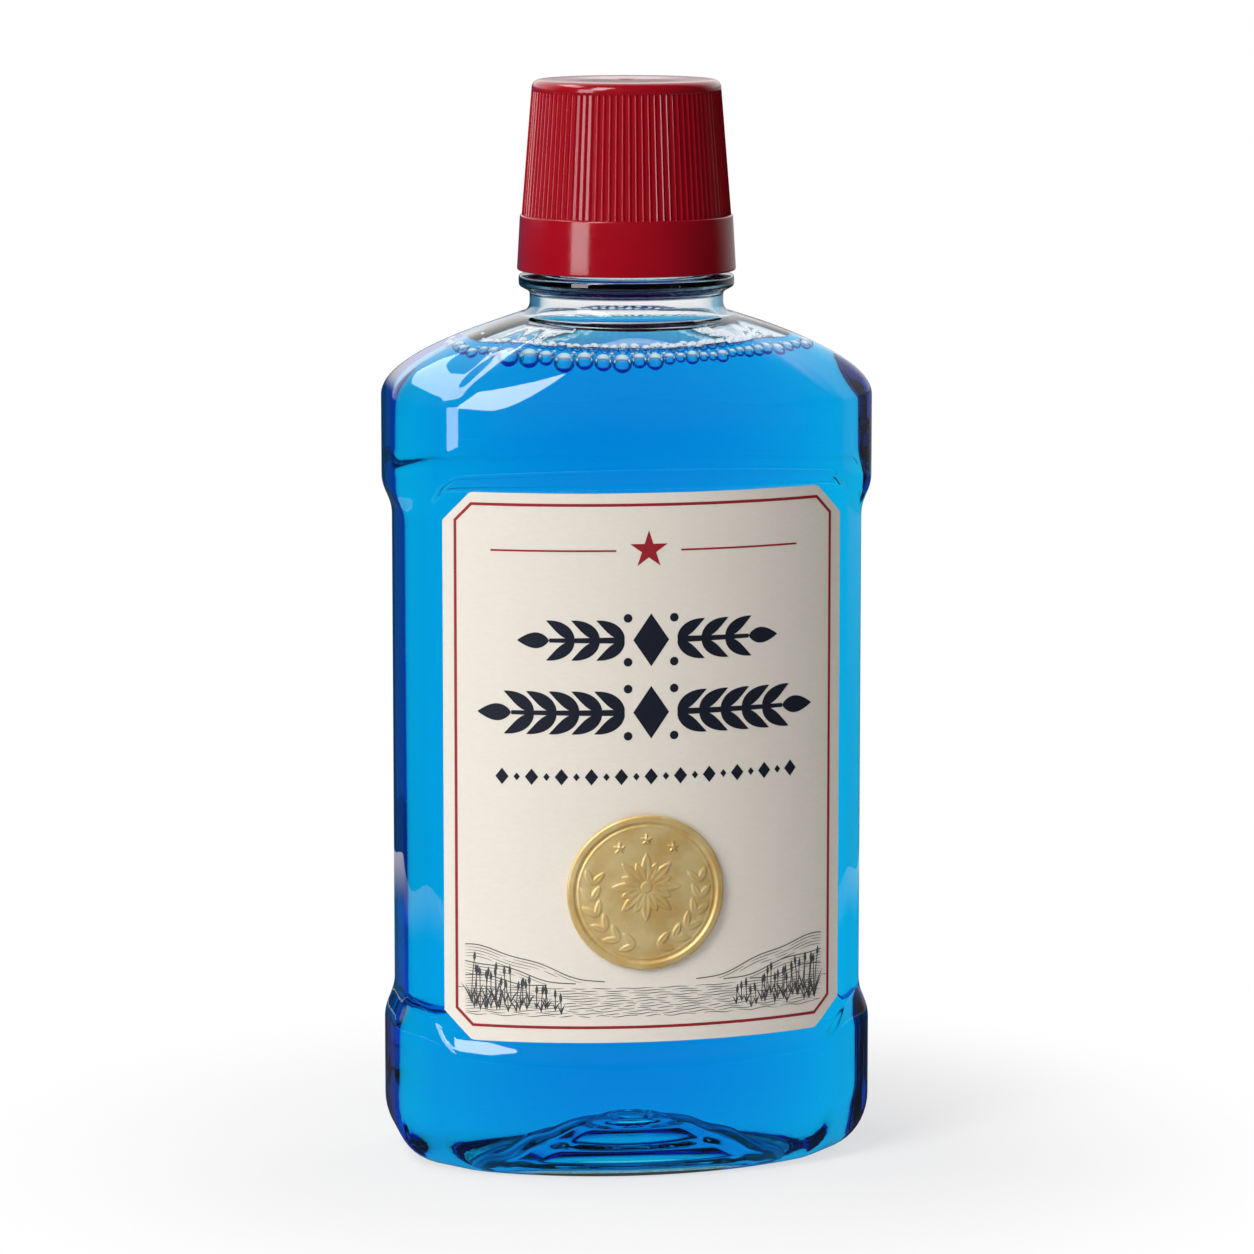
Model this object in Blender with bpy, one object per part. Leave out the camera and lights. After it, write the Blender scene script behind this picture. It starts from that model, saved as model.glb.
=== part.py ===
"""Mouthwash bottle with a screw-on dosing cap, modelled in metres at real size.

+Z is up, the origin is in the middle of the base, and the label faces -Y. The clear bottle is one
lofted shell: a standing ring round a domed push-up, a bowed octagonal body with a recessed label
panel, a faceted shoulder that runs into a round neck, and a support ring below the rim. The cap has
a ribbed outer shell that is closed on top and a dosing cup inside it, whose ledge presses a loose
seal ring onto the rim.
"""

import math

import bmesh
import bpy

MM = 0.001
TURN = 2 * math.pi

# Body section at the two bands, as seen from above
BODY_WIDTH = 85.0 * MM
BODY_DEPTH = 54.0 * MM
SIDE_FLAT = 17.0 * MM
CORNER_ACROSS = 8.2 * MM
CORNER_DEEP = 9.4 * MM
CORNER_ROUND = 2.2 * MM
BODY_WALL = 0.9 * MM

# Body section at the label panel, measured in from the bands
PANEL_IN_SIDE = 1.8 * MM
PANEL_IN_FRONT = 1.9 * MM
PANEL_CORNER_ACROSS = 4.5 * MM
PANEL_CORNER_DEEP = 6.6 * MM

# Body heights up the middle of the front, stacked from the base
HEEL_HEIGHT = 10.0 * MM
LOWER_BAND_HEIGHT = 11.2 * MM
LOWER_STEP_HEIGHT = 2.5 * MM
PANEL_HEIGHT = 98.3 * MM
UPPER_STEP_HEIGHT = 2.0 * MM
UPPER_BAND_HEIGHT = 9.7 * MM
SHOULDER_HEIGHT = 15.6 * MM

# How each crease leaves its height at the front: towards the corner, and on the flat side
BAND_CORNER_SLIP = 1.1 * MM
LOWER_BAND_SIDE_SLIP = 4.0 * MM
LOWER_STEP_SIDE_SLIP = 6.0 * MM
UPPER_BAND_SIDE_SLIP = 4.4 * MM
UPPER_STEP_SIDE_SLIP = 6.6 * MM
SHOULDER_SLIP = 1.3 * MM

# Base
HEEL_IN_SIDE = 8.6 * MM
HEEL_IN_FRONT = 5.0 * MM
FOOT_RING_WIDTH = 4.5 * MM
PUSH_UP = 6.0 * MM
BASE_WALL = 1.3 * MM
GATE_RADIUS = 3.4 * MM
GATE_HEIGHT = 0.7 * MM

# Neck, support ring and the plain wall that carries the screw thread
NECK_HEIGHT = 3.9 * MM
NECK_ROOT_ROUND = 2.0 * MM
NECK_WALL = 1.8 * MM
RING_PROUD = 1.9 * MM
RING_TAPER_HEIGHT = 1.0 * MM
RING_HEIGHT = 1.9 * MM
RING_SETBACK = 0.3 * MM
THREAD_DIAMETER = 30.0 * MM
THREAD_DEPTH = 1.0 * MM
THREAD_CLEARANCE = 0.3 * MM
FINISH_HEIGHT = 10.8 * MM
FINISH_WALL = 2.0 * MM
RIM_ROUND = 0.5 * MM

# Dosing cup inside the cap
CUP_WALL = 0.9 * MM
CUP_FLANGE_HEIGHT = 1.6 * MM
CUP_RECESS = 1.0 * MM
CHAMBER_LEDGE = 0.6 * MM
CHAMBER_DRAFT = 0.7 * MM
CHAMBER_ROUND = 1.5 * MM

# Cap shell, sized outwards from the dosing cup
SHELL_GAP = 0.75 * MM
SHELL_WALL = 1.0 * MM
RIB_COUNT = 96
RIB_DEPTH = 0.35 * MM
RIB_RUN_OUT = 0.5 * MM
RIB_HEIGHT = 21.0 * MM
RIB_TAPER = 1.7 * MM
BAND_STEP = 0.3 * MM
BAND_TAPER = 0.55 * MM
BAND_DROP = 0.4 * MM
SHELL_LIFT = 0.8 * MM
SHELL_EDGE_ROUND = 0.4 * MM
CROWN_HEIGHT = 2.5 * MM
CROWN_ROUND = 2.2 * MM
CROWN_WALL = 1.3 * MM
DIMPLE_RADIUS = 1.6 * MM
DIMPLE_DEPTH = 0.4 * MM

# Seal ring between the neck's rim and the ledge in the dosing cup
SEAL_THICKNESS = 0.8 * MM
SEAL_SIDE_PLAY = 0.3 * MM

# Mouthwash, up to a headspace below the shoulder's top, and the bubbles that ring its surface
HEADSPACE = 5.3 * MM
BUBBLE_RADIUS = 1.0 * MM
BUBBLE_COUNT = 60
BUBBLE_WAIST_SHARE = 0.5

# Label with cut corners, fitted into the panel with these margins, and the foil seal on it
LABEL_SIDE_MARGIN = 1.8 * MM
LABEL_TOP_MARGIN = 1.4 * MM
LABEL_BOTTOM_MARGIN = 0.9 * MM
LABEL_CORNER = 5.0 * MM
LABEL_THICKNESS = 0.2 * MM
FOIL_DIAMETER = 27.2 * MM
FOIL_THICKNESS = 0.35 * MM
FOIL_RIM_WIDTH = 1.2 * MM
FOIL_RIM_PROUD = 0.3 * MM
FOIL_MIDDLE = 27.4 * MM
FOIL_SHIFT = -0.9 * MM

# Pieces that touch keep this gap, and a cutter runs past its surface by this overrun
SEAT = 0.3 * MM
OVERRUN = 0.4 * MM

# Facets
BOW_STEPS = 6
CORNER_STEPS = 2
HEEL_STEPS = 4
SHOULDER_STEPS = 8
FILLET_STEPS = 3
CUP_SIDES = 48
FOIL_SIDES = 36
BEAD_SIDES = 6
LABEL_STEPS = 14

# Shapes of curves: 1 is straight, and more keeps closer to the start for longer
DOME_SHARES = (0.3, 0.55, 0.8, 1.0)
DOME_POWER = 2.4
SHOULDER_FRONT_POWER = 1.3
SHOULDER_SIDE_POWER = 1.95
BAND_EDGE_POWER = 1.5
PANEL_EDGE_POWER = 3.0

# How far the steps' inner creases move up or down for each bit of wall
CREASE_SHIFT_SHARE = 0.4

# Places that follow from the sizes above
HALF_WIDTH = BODY_WIDTH / 2
HALF_DEPTH = BODY_DEPTH / 2
PANEL_HALF_WIDTH = HALF_WIDTH - PANEL_IN_SIDE
PANEL_HALF_DEPTH = HALF_DEPTH - PANEL_IN_FRONT
LOWER_BAND_TOP = HEEL_HEIGHT + LOWER_BAND_HEIGHT
PANEL_BOTTOM = LOWER_BAND_TOP + LOWER_STEP_HEIGHT
PANEL_TOP = PANEL_BOTTOM + PANEL_HEIGHT
UPPER_BAND_BOTTOM = PANEL_TOP + UPPER_STEP_HEIGHT
SHOULDER_BOTTOM = UPPER_BAND_BOTTOM + UPPER_BAND_HEIGHT
SHOULDER_TOP = SHOULDER_BOTTOM + SHOULDER_HEIGHT
RING_BOTTOM = SHOULDER_TOP + NECK_HEIGHT
RING_TOP = RING_BOTTOM + RING_TAPER_HEIGHT + RING_HEIGHT
RIM_TOP = RING_TOP + FINISH_HEIGHT
FILL_LEVEL = SHOULDER_TOP - HEADSPACE

FINISH_RADIUS = THREAD_DIAMETER / 2 - THREAD_DEPTH
BORE_RADIUS = FINISH_RADIUS - FINISH_WALL
CUP_BORE = THREAD_DIAMETER / 2 + THREAD_CLEARANCE
CUP_RADIUS = CUP_BORE + CUP_WALL
CHAMBER_RADIUS = BORE_RADIUS + CHAMBER_LEDGE
RIB_RADIUS = CUP_RADIUS + SHELL_GAP + SHELL_WALL + RIB_DEPTH
BAND_TOP_RADIUS = RIB_RADIUS + BAND_STEP
SHELL_RADIUS = BAND_TOP_RADIUS + BAND_TAPER
RING_RADIUS = SHELL_RADIUS - RING_SETBACK
NECK_RADIUS = RING_RADIUS - RING_PROUD
THROAT_RADIUS = NECK_RADIUS - NECK_WALL

SHELL_BOTTOM = RING_TOP + SHELL_LIFT
BAND_TOP = RIM_TOP - BAND_DROP
RIB_TOP = BAND_TOP + RIB_HEIGHT
CAP_TOP = RIB_TOP + CROWN_HEIGHT
SEAL_BOTTOM = RIM_TOP + SEAT
SEAL_TOP = SEAL_BOTTOM + SEAL_THICKNESS
LEDGE_HEIGHT = SEAL_TOP + SEAT
CUP_BOTTOM = SHELL_BOTTOM + CUP_RECESS
CUP_TOP = CAP_TOP - CROWN_WALL - SEAT
CHAMBER_TOP = CUP_TOP - CUP_WALL

# Surface finishes: base colour, roughness, metallic, transmission
CLEAR_PLASTIC = ((0.93, 0.96, 0.98), 0.05, 0.0, 0.9)
BLUE_LIQUID = ((0.0, 0.30, 0.80), 0.02, 0.0, 0.6)
BUBBLE_FILM = ((0.70, 0.88, 0.98), 0.05, 0.0, 0.7)
RED_PLASTIC = ((0.42, 0.006, 0.018), 0.28, 0.0, 0.0)
WHITE_FOAM = ((0.88, 0.88, 0.86), 0.80, 0.0, 0.0)
CREAM_PAPER = ((0.78, 0.73, 0.65), 0.65, 0.0, 0.0)
GOLD_FOIL = ((0.72, 0.50, 0.18), 0.35, 1.0, 0.0)


def clear_scene():
    for thing in list(bpy.data.objects):
        bpy.data.objects.remove(thing)


def finish_material(name, finish):
    colour, roughness, metallic, transmission = finish
    material = bpy.data.materials.new(name)
    material.use_nodes = True
    shader = material.node_tree.nodes["Principled BSDF"]
    shader.inputs["Base Color"].default_value = (*colour, 1.0)
    shader.inputs["Roughness"].default_value = roughness
    shader.inputs["Metallic"].default_value = metallic
    shader.inputs["Transmission Weight"].default_value = transmission
    return material


def join_rows(shape, low, high):
    """Faces between two rings of corners; the finer ring may have twice the corners."""
    count = max(len(low), len(high))
    low_step, high_step = count // len(low), count // len(high)
    for i in range(count):
        j = (i + 1) % count
        corners = []
        for ring, step, order in ((low, low_step, (i, j)), (high, high_step, (j, i))):
            for k in order:
                corner = ring[((k + step - 1) // step) % len(ring)]
                if corner not in corners:
                    corners.append(corner)
        if len(corners) > 2:
            shape.faces.new(corners)


def lofted(name, rows, finish=None, closed=False):
    """A body through rows of points: a ring of rows, or a stack with flat faces at both ends."""
    shape = bmesh.new()
    rings = [[shape.verts.new(point) for point in row] for row in rows]
    for low, high in zip(rings, rings[1:]):
        join_rows(shape, low, high)
    if closed:
        join_rows(shape, rings[-1], rings[0])
    else:
        shape.faces.new(reversed(rings[0]))
        shape.faces.new(rings[-1])
    bmesh.ops.recalc_face_normals(shape, faces=shape.faces)
    mesh = bpy.data.meshes.new(name)
    shape.to_mesh(mesh)
    shape.free()
    mesh.shade_smooth()
    mesh.set_sharp_from_angle(angle=math.radians(35))
    body = bpy.data.objects.new(name, mesh)
    bpy.context.scene.collection.objects.link(body)
    if finish:
        mesh.materials.append(finish_material(name + "_finish", finish))
    else:
        body.hide_render = True
        body.display_type = "WIRE"
    return body


def cut(body, cutter):
    step = body.modifiers.new("cut_" + cutter.name, "BOOLEAN")
    step.operation = "DIFFERENCE"
    step.object = cutter


def circle(radius, z, sides):
    return [
        (radius * math.cos(TURN * i / sides), radius * math.sin(TURN * i / sides), z)
        for i in range(sides)
    ]


def turned(name, profile, finish=None, closed=False, sides=CUP_SIDES):
    """A body of revolution from (radius, height) points."""
    rows = [circle(radius, z, sides) for radius, z in profile]
    return lofted(name, rows, finish, closed)


def quarter_angles(steps):
    return [math.pi / 2 * i / steps for i in range(steps + 1)]


# Body section


def bow_radius(half_depth, corner_x, corner_y):
    """Radius of the bowed face from its middle, at half_depth, to the corner."""
    bow = half_depth - corner_y
    return (corner_x**2 + bow**2) / (2 * bow)


def rounded_corner(start, corner, end):
    """Points of a corner's rounding between its two ends."""
    found = []
    for i in range(1, CORNER_STEPS):
        t = i / CORNER_STEPS
        weights = ((1 - t) ** 2, 2 * t * (1 - t), t * t)
        found.append(
            tuple(
                sum(w * p[k] for w, p in zip(weights, (start, corner, end)))
                for k in range(2)
            )
        )
    return found


def quarter_outline(half_width, half_depth, across, deep):
    """From the middle of a bowed face, round the slanted corner, to the edge of the flat side."""
    side_y = SIDE_FLAT / 2
    corner_x, corner_y = half_width - across, side_y + deep
    radius = bow_radius(half_depth, corner_x, corner_y)
    last_angle = math.asin(corner_x / radius) - CORNER_ROUND / radius
    slant = math.hypot(across, deep)
    along = (CORNER_ROUND * across / slant, -CORNER_ROUND * deep / slant)
    bow = []
    for i in range(BOW_STEPS + 1):
        angle = last_angle * i / BOW_STEPS
        bow.append((radius * math.sin(angle), half_depth - radius * (1 - math.cos(angle))))
    slant_start = (corner_x + along[0], corner_y + along[1])
    slant_end = (half_width - along[0], side_y - along[1])
    side_start = (half_width, side_y - CORNER_ROUND)
    return [
        *bow,
        *rounded_corner(bow[-1], (corner_x, corner_y), slant_start),
        slant_start,
        slant_end,
        *rounded_corner(slant_end, (half_width, side_y), side_start),
        side_start,
    ]


def mirrored(quarter):
    """The whole outline, anticlockwise from the middle of the front face at -Y."""
    right = [(x, -y) for x, y in quarter] + [(x, y) for x, y in reversed(quarter)]
    left = [(-x, y) for x, y in reversed(right[1:-1])]
    return right + left


def drawn_in(outline, inset):
    """The outline moved in by the same distance all round."""
    moved = []
    count = len(outline)
    for i, (x, y) in enumerate(outline):
        before, after = outline[i - 1], outline[(i + 1) % count]
        sides = []
        for a, b in ((before, (x, y)), ((x, y), after)):
            run = math.dist(a, b)
            sides.append(((a[1] - b[1]) / run, (b[0] - a[0]) / run))
        mitre_x = sides[0][0] + sides[1][0]
        mitre_y = sides[0][1] + sides[1][1]
        reach = 2 * inset / (mitre_x**2 + mitre_y**2)
        moved.append((x + mitre_x * reach, y + mitre_y * reach))
    return moved


def band_outline(inset):
    quarter = quarter_outline(HALF_WIDTH, HALF_DEPTH, CORNER_ACROSS, CORNER_DEEP)
    return drawn_in(mirrored(quarter), inset)


def panel_outline(inset):
    quarter = quarter_outline(
        PANEL_HALF_WIDTH, PANEL_HALF_DEPTH, PANEL_CORNER_ACROSS, PANEL_CORNER_DEEP
    )
    return drawn_in(mirrored(quarter), inset)


def even_circle(outline, radius, z):
    """A circle with a point for each of the outline's, evenly spaced from the front."""
    count = len(outline)
    points = []
    for i in range(count):
        angle = TURN * i / count
        points.append((radius * math.sin(angle), -radius * math.cos(angle), z))
    return points


def crease(outline, inset, front, corner_slip, side_slip, power):
    """The outline at its inset, at heights that slip off the front's to the corners and sides."""
    outer = outline(0)
    corner_x, front_y = outer[BOW_STEPS][0], -outer[BOW_STEPS][1]
    row = []
    for (outer_x, outer_y), (x, y) in zip(outer, outline(inset)):
        if abs(outer_y) >= front_y:
            slip = corner_slip * (outer_x / corner_x) ** 2
        else:
            share = max(0, abs(outer_y) - SIDE_FLAT / 2) / (front_y - SIDE_FLAT / 2)
            slip = side_slip + (corner_slip - side_slip) * share**power
        row.append((x, y, front + slip))
    return row


# Body rows, each made for the outside at no inset and for the inside at the wall's


def base_rows(lift):
    """From the moulding gate in the middle of the push-up out to the standing ring."""
    outline = band_outline(0)
    scale_x = 1 - (HEEL_IN_SIDE + FOOT_RING_WIDTH) / HALF_WIDTH
    scale_y = 1 - (HEEL_IN_FRONT + FOOT_RING_WIDTH) / HALF_DEPTH
    rows = [
        even_circle(outline, GATE_RADIUS - GATE_HEIGHT, PUSH_UP - GATE_HEIGHT + lift),
        even_circle(outline, GATE_RADIUS, PUSH_UP + lift),
    ]
    for share in DOME_SHARES:
        z = PUSH_UP * (1 - share**DOME_POWER) + lift
        rows.append([(x * scale_x * share, y * scale_y * share, z) for x, y in outline])
    return rows


def heel_rows(inset, lift):
    """The rounded edge from the standing ring up to the lower band."""
    outline = band_outline(inset)
    rows = []
    for angle in quarter_angles(HEEL_STEPS):
        z = lift + (HEEL_HEIGHT - lift) * (1 - math.cos(angle))
        scale_x = 1 - HEEL_IN_SIDE * (1 - math.sin(angle)) / (HALF_WIDTH - inset)
        scale_y = 1 - HEEL_IN_FRONT * (1 - math.sin(angle)) / (HALF_DEPTH - inset)
        rows.append([(x * scale_x, y * scale_y, z) for x, y in outline])
    return rows


def panel_rows(inset):
    """The step into the label panel and the step out of it."""
    creases = (
        (band_outline, LOWER_BAND_TOP, 1, LOWER_BAND_SIDE_SLIP, BAND_EDGE_POWER),
        (panel_outline, PANEL_BOTTOM, 1, LOWER_STEP_SIDE_SLIP, PANEL_EDGE_POWER),
        (panel_outline, PANEL_TOP, -1, UPPER_STEP_SIDE_SLIP, PANEL_EDGE_POWER),
        (band_outline, UPPER_BAND_BOTTOM, -1, UPPER_BAND_SIDE_SLIP, BAND_EDGE_POWER),
    )
    rows = []
    for outline, front, way, side_slip, power in creases:
        z = front - way * inset * CREASE_SHIFT_SHARE
        rows.append(
            crease(outline, inset, z, way * BAND_CORNER_SLIP, way * side_slip, power)
        )
    return rows


def shoulder_lines(inset, root_radius, top):
    """For each point of the outline, its start on the band, its foot at the neck and its power."""
    slip = SHOULDER_SLIP
    starts = crease(band_outline, inset, SHOULDER_BOTTOM, slip, slip, 1)
    lines = []
    for start, foot in zip(starts, even_circle(starts, root_radius, top)):
        front = min(1, max(0, abs(start[1]) - SIDE_FLAT / 2) / CORNER_DEEP)
        power = SHOULDER_FRONT_POWER * front + SHOULDER_SIDE_POWER * (1 - front)
        lines.append((start, foot, power))
    return lines


def shoulder_point(line, share):
    """From the upper band at share 0 to the round foot of the neck at share 1."""
    start, foot, power = line
    keep = 1 - share**power
    return (
        foot[0] + (start[0] - foot[0]) * keep,
        foot[1] + (start[1] - foot[1]) * keep,
        start[2] + (foot[2] - start[2]) * share,
    )


def shoulder_rows(lines, shares):
    return [[shoulder_point(line, share) for line in lines] for share in shares]


def shoulder_level(lines, z):
    """The shoulder's outline at one height."""
    return [
        shoulder_point(line, (z - line[0][2]) / (line[1][2] - line[0][2]))
        for line in lines
    ]


def even_shares(count):
    return [i / count for i in range(count)]


def neck_rows(profile):
    outline = band_outline(0)
    return [even_circle(outline, radius, z) for radius, z in profile]


def root_profile(radius, z):
    """The hollow rounding from the shoulder's foot up into a neck of this radius."""
    return [
        (
            radius + NECK_ROOT_ROUND * (1 - math.sin(angle)),
            z + NECK_ROOT_ROUND * (1 - math.cos(angle)),
        )
        for angle in quarter_angles(FILLET_STEPS)
    ]


def make_bottle():
    shares = even_shares(SHOULDER_STEPS)
    root = NECK_RADIUS + NECK_ROOT_ROUND
    ring_edge = RING_BOTTOM + RING_TAPER_HEIGHT
    outside = [
        *base_rows(0),
        *heel_rows(0, 0),
        *panel_rows(0),
        *shoulder_rows(shoulder_lines(0, root, SHOULDER_TOP), shares),
        *neck_rows(
            [
                *root_profile(NECK_RADIUS, SHOULDER_TOP),
                (NECK_RADIUS, RING_BOTTOM),
                (RING_RADIUS, ring_edge),
                (RING_RADIUS, RING_TOP - RIM_ROUND),
                (RING_RADIUS - RIM_ROUND, RING_TOP),
                (FINISH_RADIUS, RING_TOP),
                (FINISH_RADIUS, RIM_TOP - RIM_ROUND),
                (FINISH_RADIUS - RIM_ROUND, RIM_TOP),
            ]
        ),
    ]
    inner_root = THROAT_RADIUS + NECK_ROOT_ROUND
    inner_top = SHOULDER_TOP - BODY_WALL
    inside = [
        *base_rows(BASE_WALL),
        *heel_rows(BODY_WALL, BASE_WALL),
        *panel_rows(BODY_WALL),
        *shoulder_rows(shoulder_lines(BODY_WALL, inner_root, inner_top), shares),
        *neck_rows(
            [
                *root_profile(THROAT_RADIUS, inner_top),
                (THROAT_RADIUS, RING_BOTTOM),
                (BORE_RADIUS, RING_TOP),
                (BORE_RADIUS, RIM_TOP - RIM_ROUND),
                (BORE_RADIUS + RIM_ROUND, RIM_TOP),
            ]
        ),
    ]
    return lofted("bottle", outside + inside[::-1], CLEAR_PLASTIC)


# Contents


def make_mouthwash():
    """The rinse fills the inside up to the shoulder, a seat's gap off the wall."""
    inset = BODY_WALL + SEAT
    lift = BASE_WALL + SEAT
    lines = shoulder_lines(
        inset, THROAT_RADIUS + NECK_ROOT_ROUND - SEAT, SHOULDER_TOP - inset
    )
    highest = max(line[0][2] for line in lines)
    surface = (FILL_LEVEL - highest) / (SHOULDER_TOP - inset - highest)
    under = [share for share in even_shares(SHOULDER_STEPS) if share < surface]
    rows = [
        *base_rows(lift),
        *heel_rows(inset, lift),
        *panel_rows(inset),
        *shoulder_rows(lines, under),
        shoulder_level(lines, FILL_LEVEL),
    ]
    return lofted("mouthwash", rows, BLUE_LIQUID)


def even_points(path, count):
    """Points evenly spaced round a closed path."""
    lengths = [math.dist(a, b) for a, b in zip(path, path[1:] + path[:1])]
    total = sum(lengths)
    found, edge, walked = [], 0, 0
    for i in range(count):
        target = total * i / count
        while walked + lengths[edge] < target:
            walked += lengths[edge]
            edge += 1
        t = (target - walked) / lengths[edge]
        a, b = path[edge], path[(edge + 1) % len(path)]
        found.append((a[0] + (b[0] - a[0]) * t, a[1] + (b[1] - a[1]) * t))
    return found


def make_bubble_ring():
    """A closed string of bubbles that floats on the rinse, just inside the wall."""
    lines = shoulder_lines(
        BODY_WALL, THROAT_RADIUS + NECK_ROOT_ROUND, SHOULDER_TOP - BODY_WALL
    )
    z = FILL_LEVEL + SEAT + BUBBLE_RADIUS
    wall = shoulder_level(lines, z + BUBBLE_RADIUS)
    path = even_points([(x, y) for x, y, _ in wall], 2 * BUBBLE_COUNT)
    rows = []
    for i, (x, y) in enumerate(path):
        before, after = path[i - 1], path[(i + 1) % len(path)]
        run = math.dist(before, after)
        out = ((after[1] - before[1]) / run, (before[0] - after[0]) / run)
        radius = BUBBLE_RADIUS * (BUBBLE_WAIST_SHARE if i % 2 else 1)
        row = []
        for k in range(BEAD_SIDES):
            angle = TURN * k / BEAD_SIDES
            shift = radius * math.cos(angle) - BUBBLE_RADIUS - 2 * SEAT
            rise = radius * math.sin(angle)
            row.append((x + out[0] * shift, y + out[1] * shift, z + rise))
        rows.append(row)
    return lofted("bubble_ring", rows, BUBBLE_FILM, closed=True)


# Label and foil seal


def panel_bow():
    """Radius of the panel's bowed face, and the distance along it from its middle to the corner."""
    corner_x = PANEL_HALF_WIDTH - PANEL_CORNER_ACROSS
    radius = bow_radius(PANEL_HALF_DEPTH, corner_x, SIDE_FLAT / 2 + PANEL_CORNER_DEEP)
    return radius, radius * math.asin(corner_x / radius)


def on_panel(along, z, lift):
    """A point over the panel: a distance along its bow, a height and how far it stands off."""
    radius, _ = panel_bow()
    angle = along / radius
    out = radius + lift
    return (out * math.sin(angle), radius - PANEL_HALF_DEPTH - out * math.cos(angle), z)


def make_label():
    _, reach = panel_bow()
    half = reach - LABEL_SIDE_MARGIN
    inner = half - LABEL_CORNER
    bottom = PANEL_BOTTOM + LABEL_BOTTOM_MARGIN
    top = PANEL_TOP - LABEL_TOP_MARGIN
    even = [-inner + 2 * inner * i / LABEL_STEPS for i in range(LABEL_STEPS + 1)]
    back, face = SEAT, SEAT + LABEL_THICKNESS
    rows = []
    for along in (-half, *even, half):
        cut_off = LABEL_CORNER if abs(along) > inner + LABEL_THICKNESS else 0
        rows.append(
            [
                on_panel(along, bottom + cut_off, back),
                on_panel(along, bottom + cut_off, face),
                on_panel(along, top - cut_off, face),
                on_panel(along, top - cut_off, back),
            ]
        )
    return lofted("front_label", rows, CREAM_PAPER)


def make_foil_seal():
    """An embossed foil disc that follows the label's bow, with a raised rim."""
    under = 2 * SEAT + LABEL_THICKNESS
    face = under + FOIL_THICKNESS
    proud = face + FOIL_RIM_PROUD
    radius = FOIL_DIAMETER / 2
    middle = PANEL_BOTTOM + FOIL_MIDDLE
    rim = radius - FOIL_RIM_WIDTH
    profile = (
        (radius / 2, under),
        (radius, under),
        (radius, face),
        (radius - FOIL_RIM_WIDTH / 3, proud),
        (rim + FOIL_RIM_WIDTH / 3, proud),
        (rim, face),
        (radius / 2, face),
    )
    rows = []
    for out, lift in profile:
        row = []
        for x, y, _ in circle(out, 0, FOIL_SIDES):
            row.append(on_panel(FOIL_SHIFT + x, middle + y, lift))
        rows.append(row)
    return lofted("foil_seal", rows, GOLD_FOIL)


# Cap and its seal


def ribbed_row(radius, depth, z):
    """A circle of ribs: every second point lies in the groove between two ribs."""
    sides = 2 * RIB_COUNT
    row = []
    for i in range(sides):
        out = radius - depth * (i % 2)
        row.append((out * math.cos(TURN * i / sides), out * math.sin(TURN * i / sides), z))
    return row


def rib_radius(z):
    return RIB_RADIUS - RIB_TAPER * (z - BAND_TOP) / RIB_HEIGHT


def shell_inside(z):
    """Radius of the shell's inner face at a height."""
    if z < BAND_TOP:
        share = (BAND_TOP - z) / (BAND_TOP - SHELL_BOTTOM)
        return RIB_RADIUS - RIB_DEPTH - SHELL_WALL + BAND_TAPER * share
    return rib_radius(z) - RIB_DEPTH - SHELL_WALL


def make_cap_shell():
    """The closed outer cap: smooth lower band, ribbed wall and rounded crown."""
    rib_low, rib_high = BAND_TOP + RIB_RUN_OUT, RIB_TOP - RIB_RUN_OUT
    rows = [
        circle(SHELL_RADIUS - SHELL_EDGE_ROUND, SHELL_BOTTOM, RIB_COUNT),
        circle(SHELL_RADIUS, SHELL_BOTTOM + SHELL_EDGE_ROUND, RIB_COUNT),
        circle(BAND_TOP_RADIUS, BAND_TOP - BAND_STEP, RIB_COUNT),
        circle(RIB_RADIUS, BAND_TOP, RIB_COUNT),
        ribbed_row(rib_radius(rib_low), RIB_DEPTH, rib_low),
        ribbed_row(rib_radius(rib_high), RIB_DEPTH, rib_high),
    ]
    for angle in quarter_angles(FILLET_STEPS):
        out = rib_radius(RIB_TOP) - CROWN_ROUND * (1 - math.cos(angle))
        z = RIB_TOP + CROWN_HEIGHT * math.sin(angle)
        rows.append(circle(out, z, RIB_COUNT))
    shell = lofted("cap_shell", rows, RED_PLASTIC)
    low, top = SHELL_BOTTOM - OVERRUN, CAP_TOP - CROWN_WALL
    inside = (
        (shell_inside(low), low),
        (shell_inside(BAND_TOP), BAND_TOP),
        (shell_inside(RIB_TOP) + SEAT, RIB_TOP - CROWN_WALL),
        (shell_inside(RIB_TOP) - CROWN_WALL, top),
    )
    cut(shell, turned("shell_inside_cutter", inside))
    dimple = (
        (DIMPLE_RADIUS - DIMPLE_DEPTH, CAP_TOP - DIMPLE_DEPTH),
        (DIMPLE_RADIUS, CAP_TOP),
        (DIMPLE_RADIUS, CAP_TOP + OVERRUN),
    )
    cut(shell, turned("gate_dimple_cutter", dimple))
    return shell


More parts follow.
